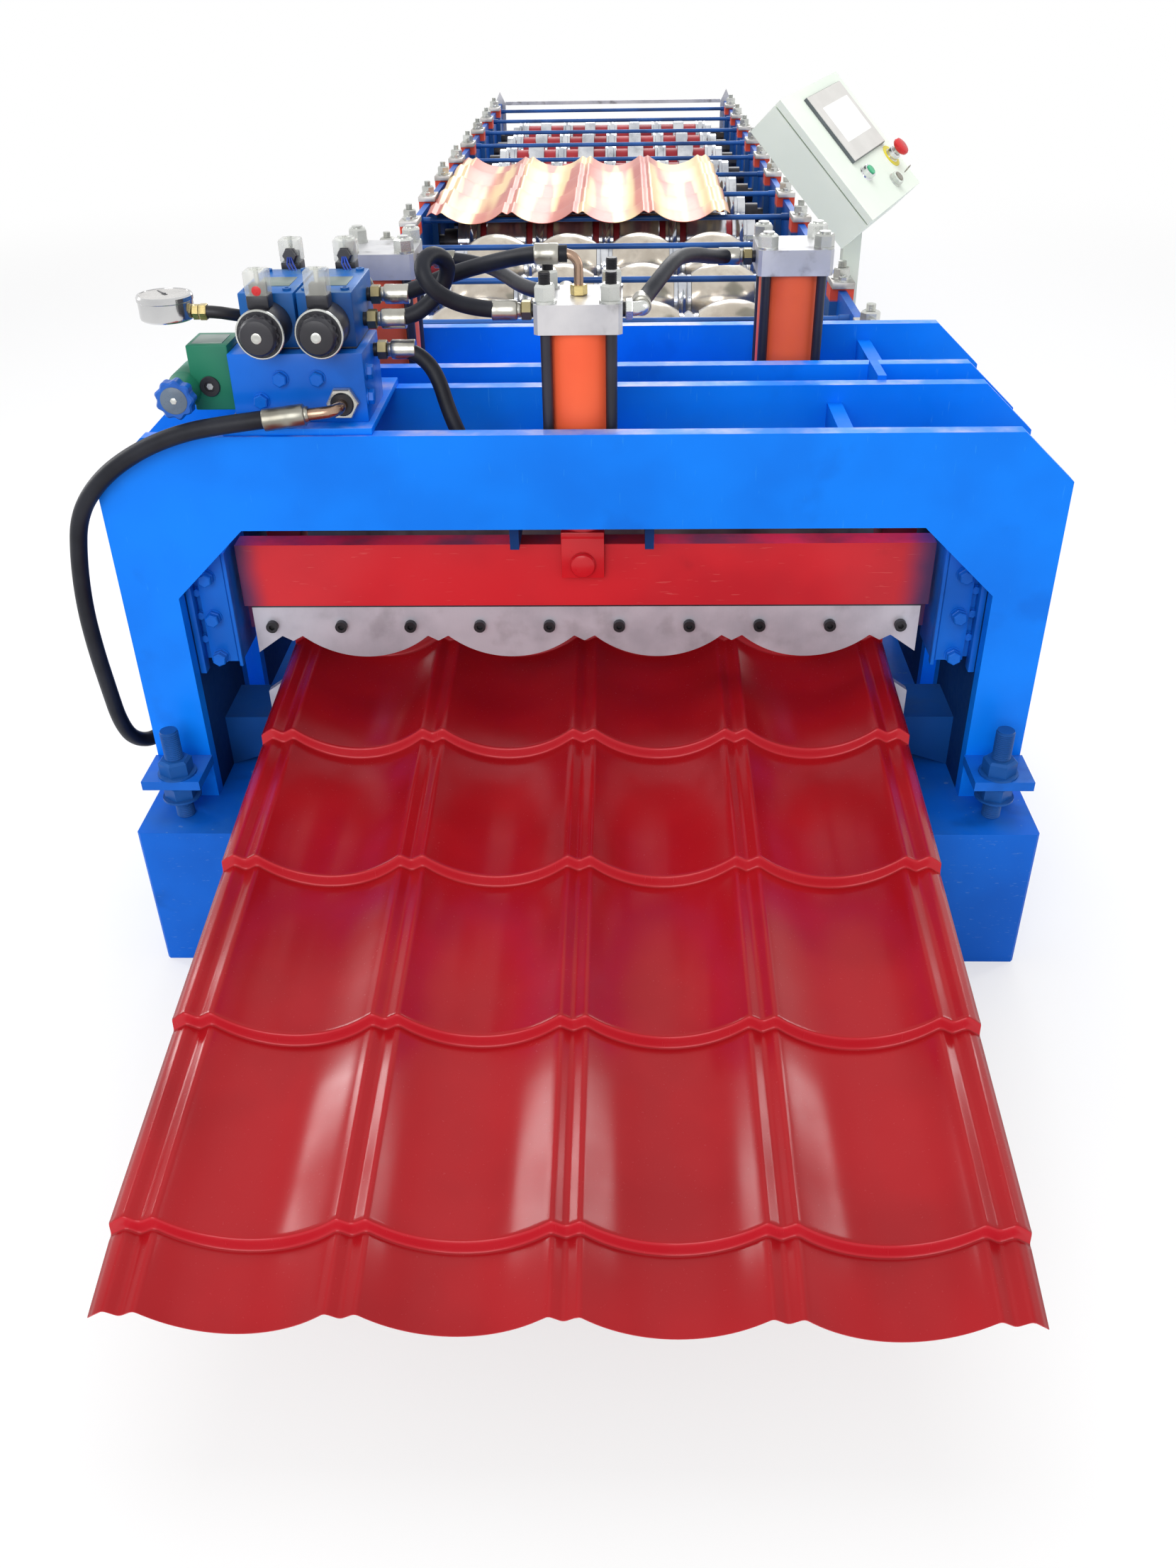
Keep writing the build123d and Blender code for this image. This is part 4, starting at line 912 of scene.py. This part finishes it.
for x in valveLook["xs"]:
    for y, way in ((valveLook["front"], -1), (valveLook["back"], 1)):
        start = (x, y, valveLook["coilZ"])
        toward = (0, way, 0)
        coils.turned(start, toward, [(0, 24), (1.5, 28.5), (44, 28.5), (46, 27.5)], "coilBlack",
            48)
        coils.turned(start, toward, [(45.6, 27.6), (46.4, 29.2), (49.4, 29.2), (50, 28.4)],
            "zincSteel", 48)
        coils.turned(start, toward, [(49, 27.2), (50.6, 27.2)], "coilBlack", 48)
        face = (x, y + way * 49.2, valveLook["coilZ"])
        coils.prism(cogOutline(24.6, 16, 2.2), face, toward, 8.0, "coilBlack", 0.8)
        coils.turned(face, toward, [(7.6, 22.6), (9, 22.6), (14, 21.6), (16.4, 19.5), (17.2, 16),
            (17.4, 9)], "coilBlack", 40)
        coils.turned(face, toward, [(17.0, 6.4), (18.2, 6.2), (18.6, 5.2), (18.2, 2.2)],
            "zincSteel", 24)
        plugY = y + way * valveLook["plugInset"]
        low = valveLook["coilZ"] + 27
        plugs.block((x - 13, plugY - 13, low), (x + 13, plugY + 13, low + 15), "coilBlack", 1.5)
        plugs.block((x - 13.8, plugY - 13.8, low + 14), (x + 13.8, plugY + 13.8, low + 43),
            "clearPlug", 3.0)
        plugs.block((x - 9, plugY - 9, low + 15), (x + 9, plugY + 9, low + 27), "coilBlack", 1.0)
        plugs.pin((x, plugY, low + 24), upward, 3, 21, "zincSteel", 12)
        plugs.turned((x, plugY, low + 42), upward, [(0, 7.5), (1.5, 7.5), (2.2, 6)], "clearPlug",
            24)
        if way > 0:
            plugs.turned((x + 2, plugY - 12, low + 24), (0, -1, 0.1),
                [(0, 10), (8, 10), (9, 9), (13, 8.4)], "coilBlack", 6)
            for bend in (-4, 0, 4):
                plugs.tube([(x + 2 + bend / 2, plugY - 24, low + 24),
                    (x + 4 + bend, plugY - 32, low + 17), (x + 9 + bend, plugY - 36, low + 8),
                    (x + 18 + bend, plugY - 38, low + 4.5)], 1.1, "wireBlue", 8)
        elif x == valveLook["xs"][0]:
            dots.turned((x + 1, plugY - 13.2, low + 21), outward,
                [(0, 5.6), (0.9, 5.6), (1.2, 4.8)], "buttonRed", 24)
coils.done("coil_black", "valve_coils")
plugs.done("clear_plug", "coil_plugs")
dots.done("button_red")

relief = Piece("reliefValve")
relief.block((-484, 36, 792), (-432.3, 98, 872), "valveGreen", 2.0)
relief.turned((-494, 98, 818), outward, [(0, 20), (1.5, 22), (58, 22), (62, 20.5)], "valveGreen",
    40)
relief.turned((-494, 38, 818), outward, [(0, 21), (6, 20), (20, 17), (30, 16.6)], "valveGreen", 40)
relief.turned((-461, 36.2, 822), outward, [(0, 12.6), (2.4, 12.6), (3.2, 11.8), (3.2, 6.5),
    (1.4, 6.2)], "coilBlack", 32)
relief.turned((-461, 36.4, 822), outward, [(0, 4.4), (2.4, 4.2)], "zincSteel", 6)
relief.block((-478, 44, 871.6), (-440, 86, 872.8), "barePlate", 0.4)
relief.done("valve_green", "relief_valve")
knob = Piece("reliefKnob", "relief_knob_body")
knob.prism(cogOutline(24.6, 9, 3.0, 0.6, 8), (-494, 7.7, 818), outward, 19, "knobBlue", 2.2)
knob.turned((-494, -11.0, 818), outward, [(0, 16.5), (0.8, 16.5), (1.3, 15.6)], "knobDial", 40)
knob.turned((-494, -11.6, 818), outward, [(0, 4.2), (1.2, 4.2), (1.6, 3.2)], "zincSteel", 6)
knob.done("knob_blue", "relief_knob")

gauge = Piece("pressureGauge")
gauge.turned((-506, 60, 898), upward, [(0, 30), (2, 32.5), (4, 33), (22, 33), (23, 34), (28, 34),
    (30, 32.6), (30, 30.4), (28.2, 30)], "gaugeSteel", 56)
gauge.pin((-506, 60, 926.3), upward, 30.2, 1.2, "gaugeDial", 56)
needle = [(-2.2, -7), (2.2, -7), (0.6, 22), (-0.6, 22)]
gauge.prism(needle, (-506, 60, 927.5), upward, 0.5, "coilBlack", across=(0.8, 0.6, 0))
gauge.turned((-506, 60, 927.4), upward, [(0, 3), (1, 2.6)], "coilBlack", 20)
gauge.pin((-476, 60, 906), rightward, 6.5, 4, "brassOld")
gauge.pin((-473, 60, 906), rightward, 9.5, 7, "brassOld", 6)
gauge.turned((-465, 60, 906), rightward, [(0, 9.8), (1, 10.2), (8, 10.2), (9, 9.6)], "brassOld", 6)
gauge.tube([(-458, 60, 906), (-450, 60.5, 905.6), (-440, 63, 904), (-430, 68, 901),
    (-421, 74, 898), (-412.5, 80, 896)], 7.4, "blackOxide", 24)
gauge.done("gauge_steel", "pressure_gauge")

manifoldPlugs = [((x, 28, z), outward) for x, z in ((-369.4, 833), (-323.5, 833), (-396.8, 806))]
manifoldPlugs += [((-265, y, z), rightward) for y, z in ((44.7, 836), (38.7, 807))]
grow("manifoldPlugs", "hex", manifoldPlugs, {"head": 9.2, "height": 7.0, "washer": 10.5,
    "under": 1.6}, "manifoldBlue")
valveBolts = [((x + across, y, 930), upward) for x in valveLook["xs"] for across in (-24, 24)
    for y in (62, 170)]
grow("valveBolts", "capScrew", valveBolts, {"head": 5.5, "height": 3.0, "socket": 2.9},
    "valveBlue")
print("valve group made")

# Hose ends: a short adapter, a union nut and a crimped ferrule at each port
hoseEnds = [
    ((-53.5, 76, 901), leftward, "oliveNut"), ((-274, 110, 884), rightward, "oliveNut"),
    ((-274, 150, 905), rightward, "oliveNut"), ((246.5, 429, 891.5), leftward, "oliveNut"),
    ((-246.5, 429, 891.5), rightward, "brassOld"), ((-20, 129.5, 900), inward, "oliveNut"),
    ((-265, 110, 846), rightward, "oliveNut"), ((-53.5, 76, 705.5), leftward, "oliveNut"),
]
fittings = Piece("hoseFittings")


def ferrule(place, way, length, radius=12.2):
    steps = [(0, radius - 4), (1, radius - 3.4), (4, radius - 3.2), (5, radius - 0.8),
        (6.5, radius)]
    steps += [(length * 0.45, radius), (length * 0.45 + 1, radius - 0.25),
        (length * 0.8, radius - 0.25), (length * 0.8 + 1, radius), (length - 1, radius),
        (length, radius - 0.8)]
    fittings.turned(place, way, steps, "ferruleSteel", 40)


for place, way, nutFinish in hoseEnds:
    fittings.pin(place, way, 8.5, 8.0, "blackOxide")
    nutStart = Vector(place) + Vector(way) * 5
    fittings.turned(nutStart, way, [(0, 11.2), (1, 12.4), (11.5, 12.4), (12.5, 11.2)], nutFinish,
        6)
    ferrule(Vector(place) + Vector(way) * 18, way, 36)
# Right port of the shear cylinder: an elbow turned towards the press
fittings.pin((53.5, 76, 901), rightward, 9, 6, "blackOxide")
fittings.turned((57, 76, 901), rightward, [(0, 11.6), (1, 13), (8, 13), (9, 11.6)], "zincSteel", 6)
fittings.tube([(65, 76, 901), (69, 76.6, 901), (73, 79, 901), (76, 83, 901), (78, 88, 901)], 8.5,
    "zincSteel", 24)
ferrule((77, 85, 901), inward, 36)
# Top port: a nut, a copper elbow and a ferrule towards the valves
fittings.turned((0, 76, 918.5), upward, [(0, 9.6), (1, 10.6), (11, 10.6), (12, 9.6)], "brassOld",
    6)
fittings.tube([(0, 76, 928)] + [(-16 + 16 * math.cos(a), 76, 950 + 16 * math.sin(a))
    for a in (math.radians(d) for d in range(0, 91, 10))] + [(-22, 76, 966)], 5.8, "copperTube",
    24)
ferrule((-19, 76, 966), leftward, 34)
# Front elbow of the main hose
fittings.turned((-294, 28, 804), outward, [(0, 19), (1.5, 20.5), (10, 20.5), (12, 19)],
    "zincSteel", 6)
fittings.turned((-294, 17, 804), outward, [(0, 13), (2, 14.5), (4, 13)], "blackOxide", 32)
fittings.tube([(-294, 16, 804), (-294.3, 6, 804), (-296, -2, 804), (-300, -8.5, 803.6),
    (-307, -12, 803), (-318, -13.4, 802), (-334, -14, 800.6)], 7.6, "copperTube", 28)
wayIn = Vector((-430, -17.8, 790.9)) - Vector((-380.5, -14, 796))
ferrule((-330, -13.2, 801.2), wayIn, 56, 13.6)
# Pipe from the main hose into the left leg
fittings.pin((-606, 113, 406), (4, 0, 60), 12, 46, "rodBlack", 28)
fittings.turned((-604.5, 113, 452), rightward, [(-12, 12), (50, 12)], "rodBlack", 28)
fittings.done("zinc", "hose_fittings")
print("hose ends made")

# Control box: screen, buttons and key
panelAt = {
    "centre": Vector((561, 1594, 895)), "right": (0.44, 0.90, 0.07),
    "normal": Vector((0.62, -0.36, 0.70)).normalized(),
}
panelRight, panelUp, panelOut = axesFor(panelAt["normal"], panelAt["right"])


def onPanel(x, y, out=0.0):
    return panelAt["centre"] + panelRight * x + panelUp * y + panelOut * out


def panelPlate(piece, low, high, start, thickness, finishName, lip=0.8):
    outline = [(low[0], low[1]), (high[0], low[1]), (high[0], high[1]), (low[0], high[1])]
    piece.prism(outline, onPanel(0, 0, start), panelOut, thickness, finishName, lip, panelRight)


screen = Piece("touchScreen")
panelPlate(screen, (-78, -36), (138, 132), 0, 7.5, "screenSide", 1.0)
panelPlate(screen, (-77, -35), (137, 131), 7, 2.0, "screenCase", 1.4)
panelPlate(screen, (-43, 6), (118, 96), 8.4, 0.9, "screenGlass", 0.4)
screen.done("screen_case", "touch_screen")

stopPlace, startPlace, keyPlace = onPanel(134, -69), onPanel(-52, -70), onPanel(59, -118)
controls = Piece("panelCollars")
for place, inner in ((startPlace, 11.5), (stopPlace, 11.4)):
    controls.turned(place, panelOut, [(0, 18), (2.5, 17.4), (3, 15.6), (13, 15.6), (14.2, 14.6),
        (14.2, inner), (4, inner)], "rodChrome", 40)
controls.turned(keyPlace, panelOut, [(0, 17), (3, 16.6), (3.4, 15.4), (12, 15.4), (14.2, 13)],
    "zincSteel", 40)
controls.turned(stopPlace, panelOut, [(0.1, 27), (1.4, 27), (1.8, 26), (1.8, 17)], "ringYellow",
    48)
controls.done("key_steel")

stop = Piece("stopButton", "emergency_stop_body")
stop.turned(stopPlace, panelOut, [(10, 10), (24.5, 10)], "zincSteel", 32)
stop.turned(stopPlace, panelOut, [(22, 15), (25, 19), (28, 20.4), (32, 20.4), (35, 18.5),
    (36.8, 14), (37.6, 7)], "buttonRed", 48)
stop.done("button_red", "emergency_stop")
start = Piece("startButton", "start_button_body")
start.turned(startPlace, panelOut, [(7.5, 10.9), (16.4, 10.9), (17.2, 10), (17.5, 8)],
    "buttonGreen", 40)
start.done("button_green", "start_button")

keyAxis = onPanel(59, -118, 14.3)
key = Piece("switchKey", "switch_key_body")
key.turned(keyAxis, panelOut, [(0, 10.8), (1.5, 10.8), (2, 10)], "keySteel", 32)
bow = [(-3, 1.5), (-3, 10), (-10.5, 13), (-10.5, 23), (-6, 26), (6, 26), (10.5, 23), (10.5, 13),
    (3, 10), (3, 1.5)]
key.prism(bow, keyAxis - panelUp * 1.4, panelUp, 2.8, "keySteel", 0.5, panelRight)
ring = [keyAxis + panelOut * (24 + 9 * math.sin(a)) + panelRight * (9 * math.cos(a) - 2)
    + panelUp * 1.5 * math.sin(a) for a in (math.tau * n / 28 for n in range(29))]
key.tube(ring, 0.9, "keySteel", 8)
key.done("key_steel", "switch_key")
print("control box dressed")

# Hoses, each laid through the points of its route
hoseLook = {"diameter": 0.020, "wider": {"main_hose": 0.022}, "sides": 8}
hoseRoutes = {
    "main_hose": [(-380.5, -14, 796), (-430, -17.8, 790.9), (-490, -18, 781), (-550, -18, 758),
        (-605, -16, 722), (-646, -10, 672), (-664, -2, 606), (-674, 4, 536), (-678, 14, 466),
        (-680, 28, 398), (-682, 42, 334), (-678, 64, 290), (-656, 90, 274), (-628, 108, 300),
        (-610, 113, 350), (-606, 113, 410)],
    "shear_down_hose": [(-76, 76, 901), (-104, 76, 901), (-146, 66, 910), (-178, 50, 932),
        (-190, 56, 958), (-176, 84, 968), (-160, 108, 950), (-172, 118, 918), (-200, 113, 892),
        (-226, 110, 884), (-251.5, 110, 884)],
    "shear_up_hose": [(-13.5, 76, 966), (-34, 76, 966), (-62, 102, 960), (-108, 144, 944),
        (-164, 166, 926), (-206, 160, 911), (-230, 150, 905), (-251.5, 150, 905)],
    "right_press_hose": [(78, 89.5, 901), (78, 116, 901), (96, 156, 914), (116, 212, 925),
        (131, 270, 924), (158, 340, 912), (182, 402, 896), (202, 429, 891.5), (224, 429, 891.5)],
    "left_press_hose": [(-224, 429, 891.5), (-202, 429, 891.5), (-170, 420, 890), (-138, 396, 887),
        (-112, 352, 884), (-92, 300, 884), (-66, 240, 888), (-36, 190, 896), (-20, 172, 900),
        (-20, 152, 900)],
    "shear_return_hose": [(-242.5, 110, 846), (-222, 110, 846), (-200, 108, 834), (-184, 102, 812),
        (-172, 90, 772), (-156, 80, 735), (-128, 74, 712), (-100, 76, 705.5), (-76, 76, 705.5)],
}


def layHose(name, route, look):
    curve = bpy.data.curves.new(name + "_cover", "CURVE")
    curve.dimensions = "3D"
    diameter = look["wider"].get(name, look["diameter"])
    curve.bevel_depth = diameter / 2
    curve.bevel_resolution = look["sides"]
    curve.resolution_u = 10
    curve.use_fill_caps = True
    line = curve.splines.new("NURBS")
    line.points.add(len(route) - 1)
    for point, place in zip(line.points, route):
        point.co = (*(v * mm for v in place), 1)
    line.order_u = 3
    line.use_endpoint_u = True
    curve.materials.append(finishes["hoseRubber"])
    hose = bpy.data.objects.new(name + "_cover", curve)
    bpy.context.collection.objects.link(hose)
    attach(hose, "frame")
    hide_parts(name)


for hoseName, hoseRoute in hoseRoutes.items():
    layHose(hoseName, hoseRoute, hoseLook)

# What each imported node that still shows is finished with
nodeFinish = {
    "front_base": "baseBlue", "bed_frame": "baseBlue", "shear_portal": "portalBlue",
    "press_portal": "portalBlue", "portal_webs": "webBlue", "slide_guides": "boltBlue",
    "tool_tables": "tableBlue", "lower_die": "dieSteel", "hold_down_ears": "boltBlue",
    "cylinder_heads": "bareSteel", "side_walls": "wallBlue", "lower_bearing_blocks": "wallBlue",
    "upper_bearing_blocks": "blockRed", "end_plates": "bareSteel", "control_arm": "boxPaint",
    "control_box": "boxPaint", "control_panel": "boxPaint", "shear_beam": "beamRed",
    "upper_die": "dieSteel", "press_rods": "rodChrome",
}
for nodeName, finishName in nodeFinish.items():
    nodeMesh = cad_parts[nodeName].data
    nodeMesh.materials.clear()
    nodeMesh.materials.append(finishes[finishName])
print("nodes finished:", len(nodeFinish))

# Studio: a pale floor, soft lamps and a white backdrop
studio = {
    "floorSize": 60, "floorFade": (2.4, 5.0), "floorShow": 0.5,
    "lamps": [
        ("overhead", (0.0, 1.5, 4.5), (0, 1.2, 0.4), (4.0, 4.0), 122, False),
        ("frontFill", (-1.0, -4.2, 2.6), (0, 0.3, 0.5), (3.0, 3.0), 108, True),
        ("farGlow", (0.5, 8.5, 3.5), (0, 3.0, 0.4), (3.0, 3.0), 110, True),
        ("leftWindow", (-2.3, 0.9, 1.5), (-0.3, -0.5, 0.35), (0.24, 1.4), 15, True),
        ("rightWindow", (2.3, 0.9, 1.5), (0.3, -0.5, 0.35), (0.2, 1.4), 9, True),
    ],
    "worldLight": 0.66,
}


def seenDirectly(nodes):
    seen = None
    for kind in ("Is Camera Ray", "Is Glossy Ray", "Is Transmission Ray"):
        ray = nodes.node("ShaderNodeLightPath", out=kind)
        seen = ray if seen is None else seen.join("MAXIMUM", ray)
    return seen


def lightStudio(look):
    world = bpy.data.worlds.new("studioWorld")
    world.use_nodes = True
    sky = Nodes()
    sky.tree = world.node_tree
    background = sky.tree.nodes["Background"]
    background.inputs["Color"].default_value = (1, 1, 1, 1)
    base = look["worldLight"]
    sky.feed(background.inputs["Strength"], seenDirectly(sky) * (1 - base) + base)
    bpy.context.scene.world = world
    for name, place, target, size, power, reflected in look["lamps"]:
        lamp = bpy.data.lights.new(name, "AREA")
        lamp.shape = "RECTANGLE"
        (lamp.size, lamp.size_y), lamp.energy = size, power
        lampObject = bpy.data.objects.new(name, lamp)
        lampObject.visible_glossy = reflected
        lampObject.location = place
        aim = Vector(target) - Vector(place)
        lampObject.rotation_euler = aim.to_track_quat("-Z", "Y").to_euler()
        bpy.context.collection.objects.link(lampObject)
    half = look["floorSize"] / 2
    mesh = bpy.data.meshes.new("studioFloor")
    corners = [(-half, -half, 0), (half, -half, 0), (half, half, 0), (-half, half, 0)]
    mesh.from_pydata(corners, [], [(0, 1, 2, 3)])
    finish = Finish("floorWhite")
    finish.set(Base_Color=(0.86, 0.86, 0.86, 1), Roughness=0.8)
    middle = finish.node("ShaderNodeVectorMath", {"operation": "SUBTRACT"},
        {0: finish.coords, 1: (0, 2.6, 0)})
    reach = finish.node("ShaderNodeVectorMath", {"operation": "LENGTH"}, {0: middle}, out="Value")
    fade = finish.between(reach, *look["floorFade"])
    share = seenDirectly(finish) * (look["floorShow"] + fade * (1 - look["floorShow"]))
    glow = finish.node("ShaderNodeEmission", None, {"Color": (1, 1, 1, 1), "Strength": 1.0})
    plain = Wire(finish, finish.shader.outputs[0])
    mixed = finish.node("ShaderNodeMixShader", None, {0: share, 1: plain, 2: glow})
    finish.feed(finish.tree.nodes["Material Output"].inputs["Surface"], mixed)
    mesh.materials.append(finish.material)
    floor = bpy.data.objects.new("studioFloor", mesh)
    bpy.context.collection.objects.link(floor)


lightStudio(studio)
bpy.context.scene.view_settings.view_transform = "Standard"
bpy.context.view_layer.update()
